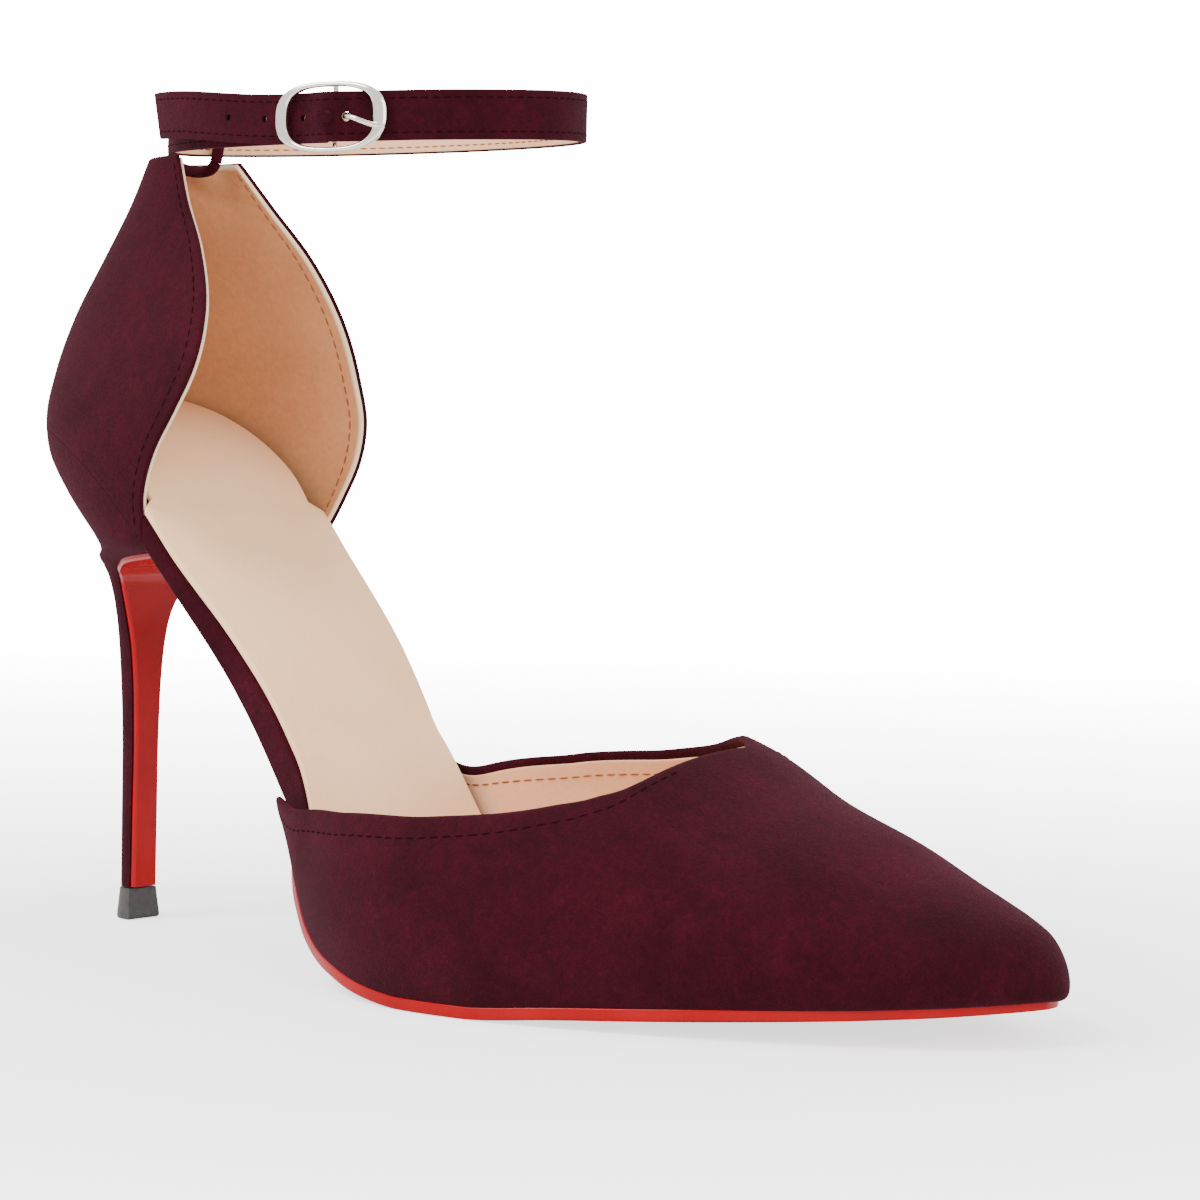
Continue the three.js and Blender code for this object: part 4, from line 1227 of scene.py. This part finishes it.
def rod(name, path, radius_at, sides=16, closed=False):
    """Round rod along a row of points."""
    rings = []
    count = len(path)
    for i, centre in enumerate(path):
        if closed:
            run = path[(i + 1) % count] - path[i - 1]
        else:
            run = path[min(count - 1, i + 1)] - path[max(0, i - 1)]
        run.normalize()
        guide = Vector((1, 0, 0)) if abs(run.z) > 0.9 else Vector((0, 0, 1))
        across = run.cross(guide).normalized()
        over = across.cross(run).normalized()
        radius = radius_at(i / (count - 1))
        rings.append([centre + across * radius * math.cos(2 * math.pi * k / sides)
            + over * radius * math.sin(2 * math.pi * k / sides) for k in range(sides)])
    return loft(name, rings, closed)


frame_rings = []
for i in range(128):
    turn = 2 * math.pi * i / 128
    ahead = math.copysign(abs(math.cos(turn)) ** 0.75, math.cos(turn))
    above = math.copysign(abs(math.sin(turn)) ** 0.75, math.sin(turn))
    offset = frame_offset - BUCKLE_BOW * (1 - ahead * ahead) ** 2
    band = mix(BUCKLE_SIDE_BAND, BUCKLE_END_BAND, ahead ** 4)
    ring = []
    for k in range(14):
        around = 2 * math.pi * k / 14
        inward = band * (0.5 - 0.5 * math.copysign(abs(math.cos(around)) ** 0.8, math.cos(around)))
        lift = BUCKLE_THICKNESS / 2 * math.copysign(abs(math.sin(around)) ** 0.8, math.sin(around))
        angle = strap_angle(BUCKLE_ANGLE, (BUCKLE_LENGTH / 2 - inward) * ahead)
        ring.append(strap_point(angle, offset + lift, STRAP_MIDDLE + (BUCKLE_HEIGHT / 2 - inward) * above))
    frame_rings.append(ring)
buckle = loft("buckle_frame", frame_rings, True)
declare(buckle, metal, "buckle_metal", "buckle_frame")

reach = BUCKLE_HEIGHT / 2 - BUCKLE_SIDE_BAND / 2
bar_line = [strap_point(BUCKLE_ANGLE, frame_offset - BUCKLE_BOW, STRAP_MIDDLE - reach),
    strap_point(BUCKLE_ANGLE, bar_offset + 0.3, STRAP_MIDDLE - reach),
    strap_point(BUCKLE_ANGLE, bar_offset, STRAP_MIDDLE - reach + 0.4)]
bar_line += [strap_point(BUCKLE_ANGLE, bar_offset, STRAP_MIDDLE + h) for h in (-3, -1, 1, 3)]
bar_line += [strap_point(BUCKLE_ANGLE, bar_offset, STRAP_MIDDLE + reach - 0.4),
    strap_point(BUCKLE_ANGLE, bar_offset + 0.3, STRAP_MIDDLE + reach),
    strap_point(BUCKLE_ANGLE, frame_offset - BUCKLE_BOW, STRAP_MIDDLE + reach)]
buckle_bar = rod("buckle_bar", bar_line, lambda share: BAR_WIRE_RADIUS)
declare(buckle_bar, metal, "buckle_metal", "buckle_frame")


# Buckle prong
# Short pin bent round the bar, through a hole in the tail and onto the frame.

PRONG_DROP = 2.0


def spline(points, count):
    """Smooth line through a row of points."""
    steps = [(b - a).length for a, b in zip(points, points[1:])]
    parts = [sum(steps[:i]) for i in range(len(points))]
    cuts = [columns([(s, p[k]) for s, p in zip(parts, points)])[0] for k in range(3)]
    return [Vector([cut(parts[-1] * i / count) for cut in cuts]) for i in range(count + 1)]


rest = frame_offset + BUCKLE_THICKNESS / 2 + CLEARANCE + PRONG_RADIUS
hole_offset = tail_offset(PRONG_HOLE) + STRAP_THICKNESS / 2
prong_line = []
for distance, offset in ((PRONG_HOLE - 1.2, bar_offset + 0.2), (PRONG_HOLE - 0.4, bar_offset + 0.9),
        (PRONG_HOLE, hole_offset), (PRONG_HOLE + 0.4, rest - 0.8), (PRONG_HOLE + 1.6, rest),
        (BUCKLE_LENGTH / 2 - 2, rest), (BUCKLE_LENGTH / 2, rest - 0.1)):
    height = STRAP_MIDDLE - PRONG_DROP * smooth(distance, PRONG_HOLE, BUCKLE_LENGTH / 2)
    prong_line.append(strap_point(strap_angle(BUCKLE_ANGLE, distance), offset, height))
prong_path = spline(prong_line, 40)
prong = rod("buckle_prong", prong_path,
    lambda share: PRONG_RADIUS * (1.05 if share < 0.9 else mix(1.05, 0.55, (share - 0.9) * 10)))
declare(prong, metal, "buckle_metal", "buckle_prong")


# Quarter loop
# Suede cord stitched into the quarter's top edge, closed round the ankle strap.

LOOP_CORD_RADIUS = 1.1
LOOP_FOOT_RISE = 2.9
LOOP_FOOT_LIFT = 0.2

strap_x = strap_point(math.pi, STRAP_THICKNESS / 2, 0).x
strap_low = strap_point(math.pi, 0, 0).z
quarter_top = SEAT_HEIGHT + QUARTER_HEIGHT
edge_x = quarter_at(quarter_top)[0] + WALL / 2
space = STRAP_THICKNESS / 2 + 2 * CLEARANCE + LOOP_CORD_RADIUS
above = strap_low + STRAP_HEIGHT + CLEARANCE + LOOP_CORD_RADIUS
foot = quarter_top + 2 * CLEARANCE + LOOP_CORD_RADIUS
loop_points = [(edge_x, foot + LOOP_FOOT_LIFT), (edge_x + LOOP_FOOT_RISE * 0.6, foot + LOOP_FOOT_RISE),
    (strap_x - space - 0.6, mix(strap_low, above, 0.4)), (strap_x - space * 0.8, above),
    (strap_x + space * 0.8, above), (strap_x + space + 0.4, mix(strap_low, above, 0.5)),
    (strap_x + space * 0.6, strap_low - 3 * CLEARANCE - LOOP_CORD_RADIUS)]
loop_ring = [Vector((x, RING_Y, z)) for x, z in loop_points]
closed_line = spline(loop_ring[-2:] + loop_ring + loop_ring[:3], 220)
first = min(range(110), key=lambda i: (closed_line[i] - loop_ring[0]).length)
last = min(range(120, 221), key=lambda i: (closed_line[i] - loop_ring[0]).length)
quarter_loop = rod("quarter_loop", closed_line[first:last], lambda share: LOOP_CORD_RADIUS, 16, True)
declare(quarter_loop, suede, "burgundy_suede", "counter_loop")


# Floor
# Pale studio floor that runs out of sight behind the shoe. It carries a painted glow seen by the camera
# alone, dim round the shoe and far brighter away from it.

def plane(name, size, colour, roughness):
    bm = bmesh.new()
    bmesh.ops.create_grid(bm, x_segments=1, y_segments=1, size=size)
    mesh = bpy.data.meshes.new(name)
    bm.to_mesh(mesh)
    bm.free()
    obj = add_object(name, mesh)
    mesh.materials.append(material(name, None, {}, Base_Color=(*colour, 1), Roughness=roughness,
        Specular_IOR_Level=0.2))
    return obj


floor = plane("floor", 12.0, (0.93, 0.93, 0.93), 0.7)
floor.location.z = -0.0001


def glow_for_camera(tree, colour, strength, shader):
    """Adds light of its own to a shader, for what the camera sees alone."""
    new, link = tree.nodes.new, tree.links.new
    glow, path, add = new("ShaderNodeEmission"), new("ShaderNodeLightPath"), new("ShaderNodeAddShader")
    only = new("ShaderNodeMath")
    only.operation = "MULTIPLY"
    link(path.outputs["Is Camera Ray"], only.inputs[0])
    link(strength, only.inputs[1])
    glow.inputs["Color"].default_value = colour
    link(only.outputs[0], glow.inputs["Strength"])
    link(shader, add.inputs[0])
    link(glow.outputs[0], add.inputs[1])
    return add.outputs[0]


# Painted glow: emission for camera rays that grows with distance from the floor's middle, leaving the floor
# darker round the shoe.
tree = floor.data.materials[0].node_tree
spot_node, ball = tree.nodes.new("ShaderNodeTexCoord"), tree.nodes.new("ShaderNodeVectorMath")
ball.operation = "LENGTH"
far_light = tree.nodes.new("ShaderNodeMapRange")
far_light.inputs["From Min"].default_value = 0.12
far_light.inputs["From Max"].default_value = 1.2
far_light.inputs["To Min"].default_value = 1.6
far_light.inputs["To Max"].default_value = 14.0
tree.links.new(spot_node.outputs["Object"], ball.inputs[0])
tree.links.new(ball.outputs["Value"], far_light.inputs["Value"])
lit = glow_for_camera(tree, (1, 1, 1, 1), far_light.outputs[0], tree.nodes["Principled BSDF"].outputs[0])
tree.links.new(lit, tree.nodes["Material Output"].inputs["Surface"])


# Light
# Bright even studio: white surroundings, one big soft key and a lower fill.

world = bpy.data.worlds.new("Studio")
bpy.context.scene.world = world
world.use_nodes = True
sky = world.node_tree
sky.nodes["Background"].inputs["Color"].default_value = (1, 1, 1, 1)
seen, brighter = sky.nodes.new("ShaderNodeLightPath"), sky.nodes.new("ShaderNodeMapRange")
brighter.inputs["To Min"].default_value = 1.35
brighter.inputs["To Max"].default_value = 15.0
sky.links.new(seen.outputs["Is Camera Ray"], brighter.inputs["Value"])
sky.links.new(brighter.outputs[0], sky.nodes["Background"].inputs["Strength"])


def area(name, spot, target, size, power):
    data = bpy.data.lights.new(name, "AREA")
    data.energy = power
    data.size = size
    obj = add_object(name, data)
    obj.location = spot
    obj.rotation_euler = (Vector(target) - Vector(spot)).to_track_quat("-Z", "Y").to_euler()


area("Key", (-0.25, -0.75, 0.95), (0, 0, 0.06), 0.6, 14)
area("Fill", (0.95, -0.35, 0.45), (0, 0, 0.06), 0.7, 5)


# Camera
# The photo's view: from the toe end of the outer side, a little above the floor.

spot = Vector((410.2, -390.0, 78.5))
turn, lift, roll = (math.radians(v) for v in (37.5, 1.45, 1.35))
back = Vector((math.sin(turn) * math.cos(lift), -math.cos(turn) * math.cos(lift), math.sin(lift)))
right = Vector((math.cos(turn), math.sin(turn), 0))
up = right.cross(-back)
right_rolled = right * math.cos(roll) + up * math.sin(roll)
up_rolled = up * math.cos(roll) - right * math.sin(roll)
lens = bpy.data.cameras.new("Camera")
lens.sensor_width = 36
lens.lens = 85.95
lens.clip_start = 0.01
lens.clip_end = 100
camera = add_object("Camera", lens)
axes = Matrix((right_rolled, up_rolled, back)).transposed().to_4x4()
camera.matrix_world = Matrix.Translation(at(spot)) @ axes
bpy.context.scene.camera = camera
